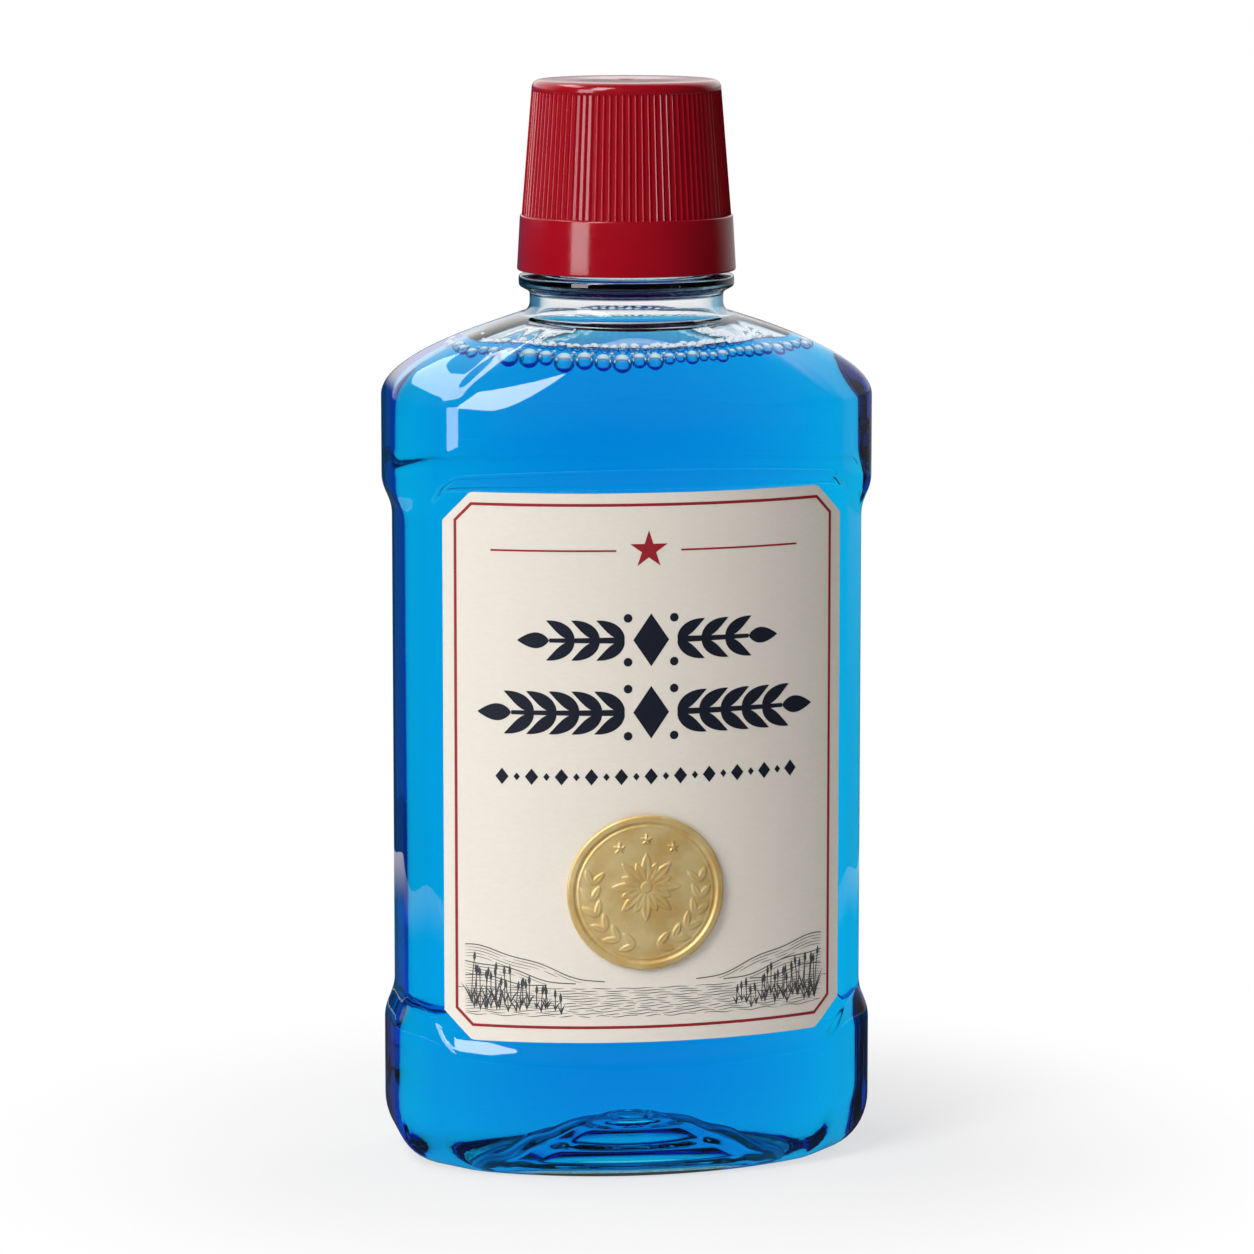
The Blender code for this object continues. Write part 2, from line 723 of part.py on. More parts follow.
def make_dosing_cup():
    """The inner cup: a wide sleeve over the neck, a sealing ledge and the dosing chamber."""
    top_radius = CHAMBER_RADIUS - CHAMBER_DRAFT
    web_top = LEDGE_HEIGHT + CUP_WALL
    flange_low = web_top - CUP_FLANGE_HEIGHT
    flange = shell_inside(web_top) - SEAT
    profile = (
        (top_radius - CHAMBER_ROUND, CHAMBER_TOP),
        (top_radius, CHAMBER_TOP - CHAMBER_ROUND),
        (CHAMBER_RADIUS, LEDGE_HEIGHT),
        (CUP_BORE, LEDGE_HEIGHT),
        (CUP_BORE, CUP_BOTTOM),
        (CUP_RADIUS, CUP_BOTTOM),
        (CUP_RADIUS, flange_low),
        (flange, flange_low),
        (flange, web_top),
        (CHAMBER_RADIUS + CUP_WALL, web_top),
        (top_radius + CUP_WALL, CHAMBER_TOP - CHAMBER_ROUND),
        (top_radius + CUP_WALL - CHAMBER_ROUND, CUP_TOP),
    )
    return turned("dosing_cup", profile, RED_PLASTIC)


def make_seal_ring():
    outer = CUP_BORE - SEAL_SIDE_PLAY
    profile = (
        (CHAMBER_RADIUS, SEAL_BOTTOM),
        (outer, SEAL_BOTTOM),
        (outer, SEAL_TOP),
        (CHAMBER_RADIUS, SEAL_TOP),
    )
    return turned("seal_ring", profile, WHITE_FOAM, closed=True)


def main():
    clear_scene()
    make_bottle()
    make_mouthwash()
    make_bubble_ring()
    make_label()
    make_foil_seal()
    make_cap_shell()
    make_dosing_cup()
    make_seal_ring()


main()
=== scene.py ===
import math
import random

import bpy
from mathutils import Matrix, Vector


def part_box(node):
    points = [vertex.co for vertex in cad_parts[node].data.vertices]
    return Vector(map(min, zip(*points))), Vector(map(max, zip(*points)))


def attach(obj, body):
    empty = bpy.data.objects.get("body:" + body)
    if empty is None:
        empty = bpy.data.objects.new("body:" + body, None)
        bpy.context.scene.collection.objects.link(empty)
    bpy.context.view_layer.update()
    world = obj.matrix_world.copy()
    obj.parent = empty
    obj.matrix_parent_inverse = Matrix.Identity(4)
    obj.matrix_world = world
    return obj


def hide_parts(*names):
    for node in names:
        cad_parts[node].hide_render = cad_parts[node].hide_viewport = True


# Mouthwash bottle with a red dosing cap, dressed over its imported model.
# Pieces are sized in millimetres, and addPiece turns them into metres.
# The studio, the scale of grain and the depth of bumps are in metres.

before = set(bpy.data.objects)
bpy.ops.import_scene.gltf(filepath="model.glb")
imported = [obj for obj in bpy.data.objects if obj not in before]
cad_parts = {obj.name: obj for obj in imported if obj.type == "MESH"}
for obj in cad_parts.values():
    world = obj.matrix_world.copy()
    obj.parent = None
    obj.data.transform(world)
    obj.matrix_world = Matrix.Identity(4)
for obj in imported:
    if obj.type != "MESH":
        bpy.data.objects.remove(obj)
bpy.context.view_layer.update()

mm = 0.001
fullTurn = 2 * math.pi
quarterTurn = math.pi / 2
white = (1.0, 1.0, 1.0)


def nodeBox(name):
    low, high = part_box(name)
    return low / mm, high / mm


bottleHigh = nodeBox("bottle")[1]
labelLow, labelHigh = nodeBox("front_label")
shellLow, shellHigh = nodeBox("cap_shell")
cupLow, cupHigh = nodeBox("dosing_cup")
sealLow, sealHigh = nodeBox("seal_ring")
fillLevel = nodeBox("mouthwash")[1].z


# Small tools for meshes

def addObject(name, data):
    added = bpy.data.objects.new(name, data)
    bpy.context.scene.collection.objects.link(added)
    return added


def addPiece(name, parts, finish, body, stands=(), sharp=40):
    # parts is a list of (points, faces), joined into one mesh
    points, faces = [], []
    for partPoints, partFaces in parts:
        first = len(points)
        points += [(x * mm, y * mm, z * mm) for x, y, z in partPoints]
        faces += [[first + corner for corner in face] for face in partFaces]
    mesh = bpy.data.meshes.new(name)
    mesh.from_pydata(points, [], faces)
    mesh.materials.append(finish)
    mesh.shade_smooth()
    mesh.set_sharp_from_angle(angle=math.radians(sharp))
    piece = addObject(name, mesh)
    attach(piece, body)
    if stands:
        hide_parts(*stands)
    return piece


def loft(rows, closed=False):
    # rows run anticlockwise as seen against the way they are stacked, so faces look out
    count = len(rows[0])
    points = [point for row in rows for point in row]
    faces = []
    for k in range(len(rows) if closed else len(rows) - 1):
        low, high = k * count, (k + 1) % len(rows) * count
        for i in range(count):
            j = (i + 1) % count
            faces.append((low + i, low + j, high + j, high + i))
    if not closed:
        last = len(points) - count
        faces += [tuple(range(count))[::-1], tuple(range(last, last + count))]
    return points, faces


def turnedOut(part):
    # the same surface, looking the other way
    return part[0], [face[::-1] for face in part[1]]


def between(a, b, share):
    return tuple(p + (q - p) * share for p, q in zip(a, b))


def curved(start, corner, end, share):
    return between(between(start, corner, share), between(corner, end, share), share)


def eased(share):
    share = min(1, max(0, share))
    return share * share * (3 - 2 * share)


def shares(count):
    return [k / count for k in range(count + 1)]


roundingMost = 0.48  # a rounding takes no more than this share of the way to the next row


def drawnBack(corner, other, rounding):
    return between(corner, other, min(roundingMost, rounding / max(math.dist(corner, other), 0.01)))


def softened(path, steps=5):
    # path is a list of (row, rounding): each row with a rounding becomes a small curve
    found = [path[0][0]]
    for (before, _), (row, rounding), (after, _) in zip(path, path[1:], path[2:]):
        if not rounding:
            found.append(row)
            continue
        starts = [drawnBack(*pair, rounding) for pair in zip(row, before)]
        ends = [drawnBack(*pair, rounding) for pair in zip(row, after)]
        for t in shares(steps):
            found.append([curved(*points, t) for points in zip(starts, row, ends)])
    return found + [path[-1][0]]


def quarterArc(steps):
    # sine and cosine through a quarter turn
    return [(math.sin(quarterTurn * t), math.cos(quarterTurn * t)) for t in shares(steps)]


def outFrom(middle, angle, distance):
    return (middle[0] + distance * math.cos(angle), middle[1] + distance * math.sin(angle))


def polar(radius, angle, z):
    return (radius * math.cos(angle), radius * math.sin(angle), z)


def circle(radius, z, sides):
    return [polar(radius, fullTurn * k / sides, z) for k in range(sides)]


def turnedRows(profile, sides):
    # profile is a list of (radius, height, rounding)
    return softened([(circle(radius, z, sides), rounding) for radius, z, rounding in profile])


# Small tools for materials

def setSockets(tree, node, values):
    # values are numbers, colours, or other nodes' outputs, which are linked
    for name, value in values.items():
        socket = node.inputs[name]
        if isinstance(value, bpy.types.NodeSocket):
            tree.links.new(value, socket)
        elif socket.type == "RGBA":
            socket.default_value = (*value, 1)
        else:
            socket.default_value = value


def addNode(tree, kind, values=None, **settings):
    node = tree.nodes.new("ShaderNode" + kind)
    for name, value in settings.items():
        setattr(node, name, value)
    setSockets(tree, node, values or {})
    return node


def newFinish(name, values):
    finish = bpy.data.materials.new(name)
    finish.use_nodes = True
    tree = finish.node_tree
    shader = tree.nodes["Principled BSDF"]
    setSockets(tree, shader, values)
    return finish, tree, shader


def setOutput(tree, socket, shader):
    tree.links.new(shader, tree.nodes["Material Output"].inputs[socket])


def maths(tree, operation, first, second=0.5):
    return addNode(tree, "Math", {0: first, 1: second}, operation=operation).outputs[0]


def noiseField(tree, scale, detail, stretch=(1, 1, 1)):
    # scale is in bumps per metre, stretched along each axis
    place = addNode(tree, "TexCoord").outputs["Object"]
    mapped = addNode(tree, "Mapping", {"Vector": place, "Scale": stretch}).outputs[0]
    noise = addNode(tree, "TexNoise", {"Vector": mapped, "Scale": scale, "Detail": detail})
    return noise.outputs["Fac"]


def ranged(tree, value, low, high, start=0.3, end=0.7, kind="LINEAR"):
    # spreads a noise's middle part over the range from low to high
    ends = {"From Min": start, "From Max": end, "To Min": low, "To Max": high}
    return addNode(tree, "MapRange", {"Value": value, **ends}, interpolation_type=kind).outputs[0]


def smoothRange(tree, value, span, low=0.0, high=1.0):
    # goes smoothly from low to high while value goes through its span
    return ranged(tree, value, low, high, *span, kind="SMOOTHSTEP")


def blended(tree, share, first, second):
    return addNode(tree, "Mix", {0: share, 2: first, 3: second}).outputs[0]


def colourMix(tree, share, first, second):
    return addNode(tree, "Mix", {0: share, 6: first, 7: second}, data_type="RGBA").outputs[2]


def shaderMix(tree, share, first, second):
    return addNode(tree, "MixShader", {0: share, 1: first, 2: second}).outputs[0]


def glow(tree, colour):
    return addNode(tree, "Emission", {"Color": colour, "Strength": 1.0}).outputs[0]


def addBump(tree, shader, height, depth, strength):
    bump = addNode(tree, "Bump", {"Height": height, "Distance": depth, "Strength": strength})
    tree.links.new(bump.outputs[0], shader.inputs["Normal"])


def addGrain(tree, shader, scale, detail, depth, strength):
    addBump(tree, shader, noiseField(tree, scale, detail), depth, strength)


def grainedFinish(name, values, colours, looks, sockets=("Base Color",)):
    # colour and bump follow the same grain
    finish, tree, shader = newFinish(name, values)
    grain = noiseField(tree, *looks["grain"])
    colour = colourMix(tree, grain, *colours)
    setSockets(tree, shader, {socket: colour for socket in sockets})
    addBump(tree, shader, grain, *looks["grainDepth"])
    return finish


def addVariety(tree, shader, share, looks):
    # colour varies with share, and roughness and bump with noise of their own
    roughness = ranged(tree, noiseField(tree, *looks["smears"]), *looks["roughness"])
    colour = colourMix(tree, share, *looks["colours"])
    setSockets(tree, shader, {"Base Color": colour, "Roughness": roughness})
    addGrain(tree, shader, *looks["grain"])


def clearFinish(name, bends, waves):
    # bends is the index of refraction, and waves the grain of the surface
    values = {"Base Color": white, "Roughness": 0.0, "IOR": bends, "Transmission Weight": 1.0}
    finish, tree, shader = newFinish(name, values)
    addGrain(tree, shader, *waves)
    return finish, tree, shader.outputs[0]


# Camera, placed so that the bottle stands in the picture as in the photograph

camera = {
    "place": (-0.1621, -0.9589, 0.2373),
    "aim": (0.0001, 0.0, 0.0937),
    "lens": 160,
    "sensorWidth": 36,
}


def addAimed(name, data, place, aim):
    # a camera or a lamp that looks from place to aim
    added = addObject(name, data)
    added.location = place
    added.rotation_euler = (Vector(aim) - Vector(place)).to_track_quat("-Z", "Y").to_euler()
    return added


cameraData = bpy.data.cameras.new("productCamera")
cameraData.lens = camera["lens"]
cameraData.sensor_width = camera["sensorWidth"]
bpy.context.scene.camera = addAimed("productCamera", cameraData, camera["place"], camera["aim"])
bpy.context.scene.view_settings.view_transform = "Standard"
print("camera is in place")


# Softboxes, the light of the room, and the table

studio = {
    # each softbox: place, aim, width, height, brightness, and False if reflections don't show it
    "softboxes": {
        "lowStrip": ((-0.92, -0.53, 0.36), (0.0, 0.0, 0.17), 0.38, 0.60, 5.5),
        "highStrip": ((-0.60, -0.58, 0.86), (0.0, 0.0, 0.15), 0.33, 0.80, 9.5),
        "leftRear": ((-0.58, 0.30, 1.02), (0.0, 0.0, 0.14), 0.70, 0.26, 6.0),
        "frontFill": ((-0.30, -1.20, 0.75), (0.0, 0.0, 0.10), 0.60, 0.80, 2.2, False),
        "rightRear": ((0.85, 0.55, 0.60), (0.0, 0.0, 0.12), 0.80, 0.80, 1.8, False),
    },
    "roomLight": 0.05,  # for dull surfaces
    # brightness in reflections off the outside: in front, and the others behind the bottle
    "frontShine": 0.02,
    "leftShine": 0.12,
    "rightShine": 0.45,
    "lowShine": 0.06,  # low at the right
    "topShine": 1.3,
    "leftTint": (0.08, 0.50, 1.0),  # colour low at the left
    # colour in reflections inside the bottle
    "insideSides": (0.20, 0.48, 0.62),
    "insideFront": (0.06, 0.20, 0.34),
    "insideUp": (0.72, 0.86, 0.95),
    # where one turns into the next, measured along a ray's way of length 1
    "lowSpan": (-0.17, -0.09),
    "rightSpan": (0.0, 0.35),
    "topSpan": (0.0, 0.16),
    "behindSpan": (0.1, 0.7),
    "insideFrontSpan": (0.65, 0.93),
    "insideUpSpan": (0.25, 0.6),
    "tintSpans": ((-0.1, 0.2), (0.0, 0.12)),  # across and up
    "tableRadius": 0.30,
    "tableSides": 96,
    "tableWhite": 0.80,
    "tableDull": 0.8,
    "tableNear": (0.10, 0.62, 0.90),  # painted reflection colour inside the bottle: the table near it
    "tableFar": (0.0, 0.12, 0.35),  # and far from it
    "tablePaintedShade": (0.05, 0.05, 0.05),  # painted shade in reflections off the outside: the table near it
    "tablePaintedBlue": (0.02, 0.13, 0.26),  # and painted blue light farther, standing in for light through the mouthwash
    "shadowShare": 0.34,
    # how far from the middle of the table one turns into the next
    "shadowSpan": (0.045, 0.13),
    "insideSpan": (0.07, 0.20),
    "outsideSpan": (0.12, 0.20),
    "edgeSpan": (0.24, 0.30),
}


def addSoftbox(name, place, aim, width, height, brightness, shows=True):
    lamp = bpy.data.lights.new(name, "AREA")
    lamp.shape = "RECTANGLE"
    lamp.size = width
    lamp.size_y = height
    lamp.energy = brightness * width * height * math.pi
    softbox = addAimed(name, lamp, place, aim)
    softbox.visible_transmission = False
    softbox.visible_glossy = shows


def mirroredInside(tree, rays):
    # 1 for a ray that leaves clear plastic after a reflection inside it
    mirrors = maths(tree, "GREATER_THAN", rays["Glossy Depth"], 0.5)
    return maths(tree, "MULTIPLY", mirrors, rays["Is Transmission Ray"])


def lightRoom():
    world = bpy.data.worlds.new("studio")
    bpy.context.scene.world = world
    world.use_nodes = True
    tree = world.node_tree
    rays = addNode(tree, "LightPath").outputs
    direction = addNode(tree, "TexCoord").outputs["Generated"]
    way = addNode(tree, "SeparateXYZ", {"Vector": direction}).outputs
    # brightness: reflections off the outside show a room with a dark front
    shine = smoothRange(tree, way["Z"], studio["lowSpan"], studio["lowShine"], studio["rightShine"])
    shine = smoothRange(tree, way["X"], studio["rightSpan"], studio["leftShine"], shine)
    shine = blended(tree, smoothRange(tree, way["Z"], studio["topSpan"]), shine, studio["topShine"])
    behind = smoothRange(tree, way["Y"], studio["behindSpan"])
    shine = blended(tree, behind, studio["frontShine"], shine)
    # a ray through clear plastic counts as glossy too, so transmission is mixed in after gloss
    level = blended(tree, rays["Is Glossy Ray"], studio["roomLight"], shine)
    for kind in ("Is Transmission Ray", "Is Camera Ray"):
        level = blended(tree, rays[kind], level, 1.0)
    # colour: blue inside the bottle, and low at the left in reflections off the outside
    facing = smoothRange(tree, maths(tree, "ABSOLUTE", way["Y"]), studio["insideFrontSpan"])
    inside = colourMix(tree, facing, studio["insideSides"], studio["insideFront"])
    upward = smoothRange(tree, way["Z"], studio["insideUpSpan"])
    inside = colourMix(tree, upward, inside, studio["insideUp"])
    across, up = studio["tintSpans"]
    tint = smoothRange(tree, way["X"], across, 1.0, 0.0)
    tint = maths(tree, "MULTIPLY", tint, smoothRange(tree, way["Z"], up, 1.0, 0.0))
    tint = maths(tree, "MULTIPLY", tint, rays["Is Glossy Ray"])
    outside = colourMix(tree, tint, white, studio["leftTint"])
    outside = colourMix(tree, rays["Is Transmission Ray"], outside, white)
    colour = colourMix(tree, mirroredInside(tree, rays), outside, inside)
    setSockets(tree, tree.nodes["Background"], {"Color": colour, "Strength": level})


def tableFinish():
    tone = [studio["tableWhite"]] * 3
    values = {"Base Color": tone, "Roughness": studio["tableDull"], "Specular IOR Level": 0.0}
    finish, tree, shader = newFinish("whiteTable", values)
    rays = addNode(tree, "LightPath").outputs
    place = addNode(tree, "TexCoord").outputs["Object"]
    away = addNode(tree, "VectorMath", {0: place}, operation="LENGTH").outputs["Value"]
    # it looks white from afar and keeps the bottle's shadow near it
    seen = smoothRange(tree, away, studio["shadowSpan"], 1 - studio["shadowShare"], 1.0)
    seen = maths(tree, "MULTIPLY", rays["Is Camera Ray"], seen)
    seen = maths(tree, "MAXIMUM", seen, rays["Is Transmission Ray"])
    lit = shaderMix(tree, seen, shader.outputs[0], glow(tree, white))
    # in reflections off the outside the table glows with painted shade near the bottle and painted
    # blue light farther out
    near = smoothRange(tree, away, studio["edgeSpan"], 1.0, 0.0)
    near = maths(tree, "MULTIPLY", rays["Is Glossy Ray"], near)
    near = blended(tree, rays["Is Transmission Ray"], near, 0.0)
    share = smoothRange(tree, away, studio["outsideSpan"])
    colour = colourMix(tree, share, studio["tablePaintedShade"], studio["tablePaintedBlue"])
    lit = shaderMix(tree, near, lit, glow(tree, colour))
    # and in reflections inside the bottle it glows with painted reflection colours
    share = smoothRange(tree, away, studio["insideSpan"])
    colour = colourMix(tree, share, studio["tableNear"], studio["tableFar"])
    setOutput(tree, "Surface", shaderMix(tree, mirroredInside(tree, rays), lit, glow(tree, colour)))
    return finish


for name, settings in studio["softboxes"].items():
    addSoftbox(name, *settings)
lightRoom()
tableMesh = bpy.data.meshes.new("table")
tableSides = studio["tableSides"]
tableMesh.from_pydata(circle(studio["tableRadius"], 0, tableSides), [], [range(tableSides)])
tableMesh.materials.append(tableFinish())
addObject("table", tableMesh)
print("studio is lit")


# Bottle

bottle = {
    "sideFlat": 17.0,  # flat part of the sides, front to back
    "bandCorner": (8.2, 9.4),  # slanted corners at the bands, across and deep
    "panelCorner": (4.5, 6.6),  # and at the label panel
    "panelIn": (1.8, 1.9),  # how far the panel is set in, at the sides and the front
    "cornerRound": 2.2,
    "wall": 0.9,
    "baseWall": 1.3,
    "heelHeight": 10.0,
    "heelIn": (8.6, 5.0),
    "heelSteps": 12,
    "footRing": 4.5,
    "pushUp": 6.6,
    "pushUpRows": (48, 9),  # rows out to the foot ring, and how many the gate leaves out
    "ripples": (4, 0.22),  # rings round the push-up: how many and how high
    "rippleEnds": (0.15, 0.1, 0.15),  # where they start, how fast they rise, how fast they end
    "gate": (3.4, 0.7, 0.6),  # moulding gate's radius, height and flat middle
    "gateRounds": (0.3, 0.4),
    "stepHeights": (2.5, 2.0),  # lower step, upper step
    "bandHeight": 9.7,  # upper band
    "shoulderHeight": 15.6,
    "cornerSlip": 1.1,  # how far the creases leave their height at the corners
    "lowerSlips": (4.0, 6.0),  # and on the sides: band edge, panel edge
    "upperSlips": (4.4, 6.6),
    "slipPowers": (1.5, 3.0),  # how late they do: band edge, panel edge
    "shoulderSlip": 1.3,
    "creaseRound": 1.5,
    "creaseSpread": 0.4,  # how much farther apart creases lie, for each mm inside
    "sidePower": 1.95,  # fullness of the shoulder at the sides
    "frontPowers": (1.3, 1.0),  # and at the front: outside, inside
    "shoulderSteps": 30,
    "shoulderCrowding": 1.5,  # rows crowd where the shoulder starts
    "neckRadius": 16.95,
    "neckRound": 2.0,
    "neckSteps": 10,
    "neckWall": 1.8,
    "ringRadius": 18.85,
    "ringHeights": (1.0, 1.9),  # the support ring's taper and its edge
    "ringRounds": (0.6, 0.45, 0.55, 0.6),  # from the neck, over the ring, to the finish
    "finishRadius": 14.0,
    "finishWall": 2.0,
    "plainFinish": 0.9,  # above and below the rows of the thread
    "rimRound": 0.5,
    "boreDrops": (0.9, 1.3),  # below the ring, where the bore widens
    "rowGap": 0.1,  # between two stretches of rows
    "capLift": 0.8,  # from the support ring up to the cap
    "threadDepth": 1.0,
    "threadPitch": 4.2,
    "threadTurns": (0.0, 1.25),
    "threadStart": 159.75,
    "threadWidths": (0.8, 2.0),  # across its top and its foot
    "threadFade": 0.06,  # of a turn, at its ends
    "threadStep": 0.16,  # between rows
    "labelMargins": (0.9, 1.4),  # from the panel's lower and upper edge to the label
    "bends": 1.57,  # index of refraction
    "waves": (60, 2, 0.00015, 0.25),
}

mouthwash = {
    "soak": 0.25,  # how far it reaches into the wall, so that no air shows between them
    "shoulderSteps": 20,
    "meniscus": 0.7,  # how high it climbs at the wall
    "meniscusWide": 0.8,
    "meniscusFrom": 0.25,
    "openRows": (0.3, 0.6, 1.0, 1.5, 2.2, 3.0, 4.0, 5.5),  # rows of its surface, from the wall
    "middleRows": (0.7, 0.4, 0.1),  # and shares of the rest
    "absorption": (0.04, 0.90, 0.979),
    "density": 260.0,
    "bends": 1.333,
    "waves": (90, 2, 0.0002, 0.15),
}

halfWidth, halfDepth = bottleHigh.x, bottleHigh.y
rimTop = bottleHigh.z
ringTop = shellLow.z - bottle["capLift"]
panelBottom = labelLow.z - bottle["labelMargins"][0]
panelTop = labelHigh.z + bottle["labelMargins"][1]
lowerBandTop = panelBottom - bottle["stepHeights"][0]
upperBandBottom = panelTop + bottle["stepHeights"][1]
shoulderBottom = upperBandBottom + bottle["bandHeight"]
shoulderTop = shoulderBottom + bottle["shoulderHeight"]
ringBottom = ringTop - sum(bottle["ringHeights"])
rootRadius = bottle["neckRadius"] + bottle["neckRound"]
sideY = bottle["sideFlat"] / 2

# Each stretch of a quarter of the outline: its points, and its share of the neck's quarter turn
stretches = {
    "bow": (26, 12 / 23),
    "frontRound": (6, 4 / 23),
    "slant": (3, 2 / 23),
    "sideRound": (6, 4 / 23),
    "side": (3, 1 / 23),
}


def bowRadius(depth, cornerX, cornerY):
    bow = depth - cornerY
    return (cornerX**2 + bow**2) / (2 * bow)


def quarterOutline(width, depth, corner):
    # from the middle of the bowed front, round the slanted corner, to the middle of the side
    across, deep = corner
    cornerX, cornerY = width - across, sideY + deep
    radius = bowRadius(depth, cornerX, cornerY)
    lastAngle = math.asin(cornerX / radius) - bottle["cornerRound"] / radius
    slant = math.hypot(across, deep)
    along = (bottle["cornerRound"] * across / slant, -bottle["cornerRound"] * deep / slant)

    def onBow(t):
        angle = lastAngle * t
        return (radius * math.sin(angle), depth - radius * (1 - math.cos(angle)))

    slantStart = (cornerX + along[0], cornerY + along[1])
    slantEnd = (width - along[0], sideY - along[1])
    sideStart = (width, sideY - bottle["cornerRound"])
    ways = {
        "bow": onBow,
        "frontRound": lambda t: curved(onBow(1), (cornerX, cornerY), slantStart, t),
        "slant": lambda t: between(slantStart, slantEnd, t),
        "sideRound": lambda t: curved(slantEnd, (width, sideY), sideStart, t),
        "side": lambda t: between(sideStart, (width, 0), t),
    }
    found = [(0, depth)]
    for name, (steps, _) in stretches.items():
        found += [ways[name](t) for t in shares(steps)[1:]]
    return found


def mirrored(quarter):
    # the whole outline, anticlockwise from the middle of the front
    right = [(x, -y) for x, y in quarter] + [(x, y) for x, y in quarter[-2::-1]]
    return right + [(-x, y) for x, y in right[-2:0:-1]]


def quarterTurns():
    # how far round the neck each point of a quarter ends up, from 0 to 1
    found, start = [0], 0
    for steps, part in stretches.values():
        found += [start + part * t for t in shares(steps)[1:]]
        start += part
    return found


quarterShares = quarterTurns()
halfShares = quarterShares + [2 - share for share in quarterShares[-2::-1]]
neckAngles = [quarterTurn * share for share in halfShares]
neckAngles += [fullTurn - angle for angle in neckAngles[-2:0:-1]]


def drawnIn(outline, inset):
    # the closed outline, moved in by this much
    moved = []
    for k, (x, y) in enumerate(outline):
        before, after = outline[k - 1], outline[(k + 1) % len(outline)]
        ways = []
        for a, b in ((before, (x, y)), ((x, y), after)):
            run = math.dist(a, b)
            ways.append(((a[1] - b[1]) / run, (b[0] - a[0]) / run))
        mitre = (ways[0][0] + ways[1][0], ways[0][1] + ways[1][1])
        reach = 2 * inset / (mitre[0] ** 2 + mitre[1] ** 2)
        moved.append((x + mitre[0] * reach, y + mitre[1] * reach))
    return moved


bandOutline = mirrored(quarterOutline(halfWidth, halfDepth, bottle["bandCorner"]))
panelHalfWidth = halfWidth - bottle["panelIn"][0]
panelHalfDepth = halfDepth - bottle["panelIn"][1]
panelOutline = mirrored(quarterOutline(panelHalfWidth, panelHalfDepth, bottle["panelCorner"]))


def fromFront(radius, angle, z):
    return (radius * math.sin(angle), -radius * math.cos(angle), z)


def neckCircle(radius, z):
    return [fromFront(radius, angle, z) for angle in neckAngles]


def neckRows(profile):
    # profile is a list of (radius, height, rounding)
    return softened([(neckCircle(radius, z), rounding) for radius, z, rounding in profile])


def crease(outline, inset, front, cornerSlip, sideSlip, power):
    # an edge that is level at the front and leaves this height towards the sides
    bowEnd = outline[stretches["bow"][0]]
    row = []
    for (outerX, outerY), (x, y) in zip(outline, drawnIn(outline, inset)):
        if abs(outerY) >= -bowEnd[1]:
            slip = cornerSlip * (outerX / bowEnd[0]) ** 2
        else:
            share = max(0, abs(outerY) - sideY) / (-bowEnd[1] - sideY)
            slip = sideSlip + (cornerSlip - sideSlip) * share**power
        row.append((x, y, front + slip))
    return row


def baseRows(lift):
    # from the moulding gate in the middle of the push-up to the standing ring
    gateRadius, gateHeight, gateMiddle = bottle["gate"]
    reachX = 1 - (bottle["heelIn"][0] + bottle["footRing"]) / halfWidth
    reachY = 1 - (bottle["heelIn"][1] + bottle["footRing"]) / halfDepth
    top = bottle["pushUp"] + lift
    path = [
        (neckCircle(gateMiddle, top - gateHeight), 0),
        (neckCircle(gateRadius - gateHeight, top - gateHeight), bottle["gateRounds"][0]),
        (neckCircle(gateRadius, top), bottle["gateRounds"][1]),
    ]
    count, high = bottle["ripples"]
    start, rise, end = bottle["rippleEnds"]
    rows, first = bottle["pushUpRows"]
    for share in shares(rows)[first:]:
        ripple = high * math.sin(fullTurn * count * share) * eased((share - start) / rise)
        ripple *= eased((1 - share) / end)
        z = bottle["pushUp"] * (0.5 + 0.5 * math.cos(math.pi * share)) + ripple + lift
        row = [(x * reachX * share, y * reachY * share, z) for x, y in bandOutline]
        path.append((row, 0))
    return softened(path, 3)


def heelRows(inset, lift):
    outline = drawnIn(bandOutline, inset)
    inX, inY = bottle["heelIn"]
    rows = []
    for sine, cosine in quarterArc(bottle["heelSteps"]):
        z = lift + (bottle["heelHeight"] - lift) * (1 - cosine)
        reachX = 1 - inX * (1 - sine) / (halfWidth - inset)
        reachY = 1 - inY * (1 - sine) / (halfDepth - inset)
        rows.append([(x * reachX, y * reachY, z) for x, y in outline])
    return rows


def panelPath(inset):
    # the step into the label panel and the step out of it, with rounded creases
    slip, shift = bottle["cornerSlip"], bottle["creaseSpread"] * inset
    lower, upper = bottle["lowerSlips"], bottle["upperSlips"]
    bandPower, panelPower = bottle["slipPowers"]
    rows = [
        crease(bandOutline, inset, lowerBandTop - shift, slip, lower[0], bandPower),
        crease(panelOutline, inset, panelBottom - shift, slip, lower[1], panelPower),
        crease(panelOutline, inset, panelTop + shift, -slip, -upper[1], panelPower),
        crease(bandOutline, inset, upperBandBottom + shift, -slip, -upper[0], bandPower),
    ]
    return [(row, bottle["creaseRound"]) for row in rows]


def shoulderLines(inset, top, frontPower):
    # one line up the shoulder from each point of the outline: start, foot of the neck, fullness
    slip = bottle["shoulderSlip"]
    starts = crease(bandOutline, inset, shoulderBottom, slip, slip, 1)
    lines = []
    for start, foot in zip(starts, neckCircle(rootRadius, top)):
        front = (abs(start[1]) - sideY) / bottle["bandCorner"][1]
        front = min(1, max(0, front))
        lines.append((start, foot, frontPower * front + bottle["sidePower"] * (1 - front)))
    return lines


def shoulderPoint(line, share):
    start, foot, power = line
    keep = 1 - share**power
    x = foot[0] + (start[0] - foot[0]) * keep
    y = foot[1] + (start[1] - foot[1]) * keep
    return (x, y, start[2] + (foot[2] - start[2]) * share)


def shoulderLevel(lines, z):
    return [shoulderPoint(line, (z - line[0][2]) / (line[1][2] - line[0][2])) for line in lines]


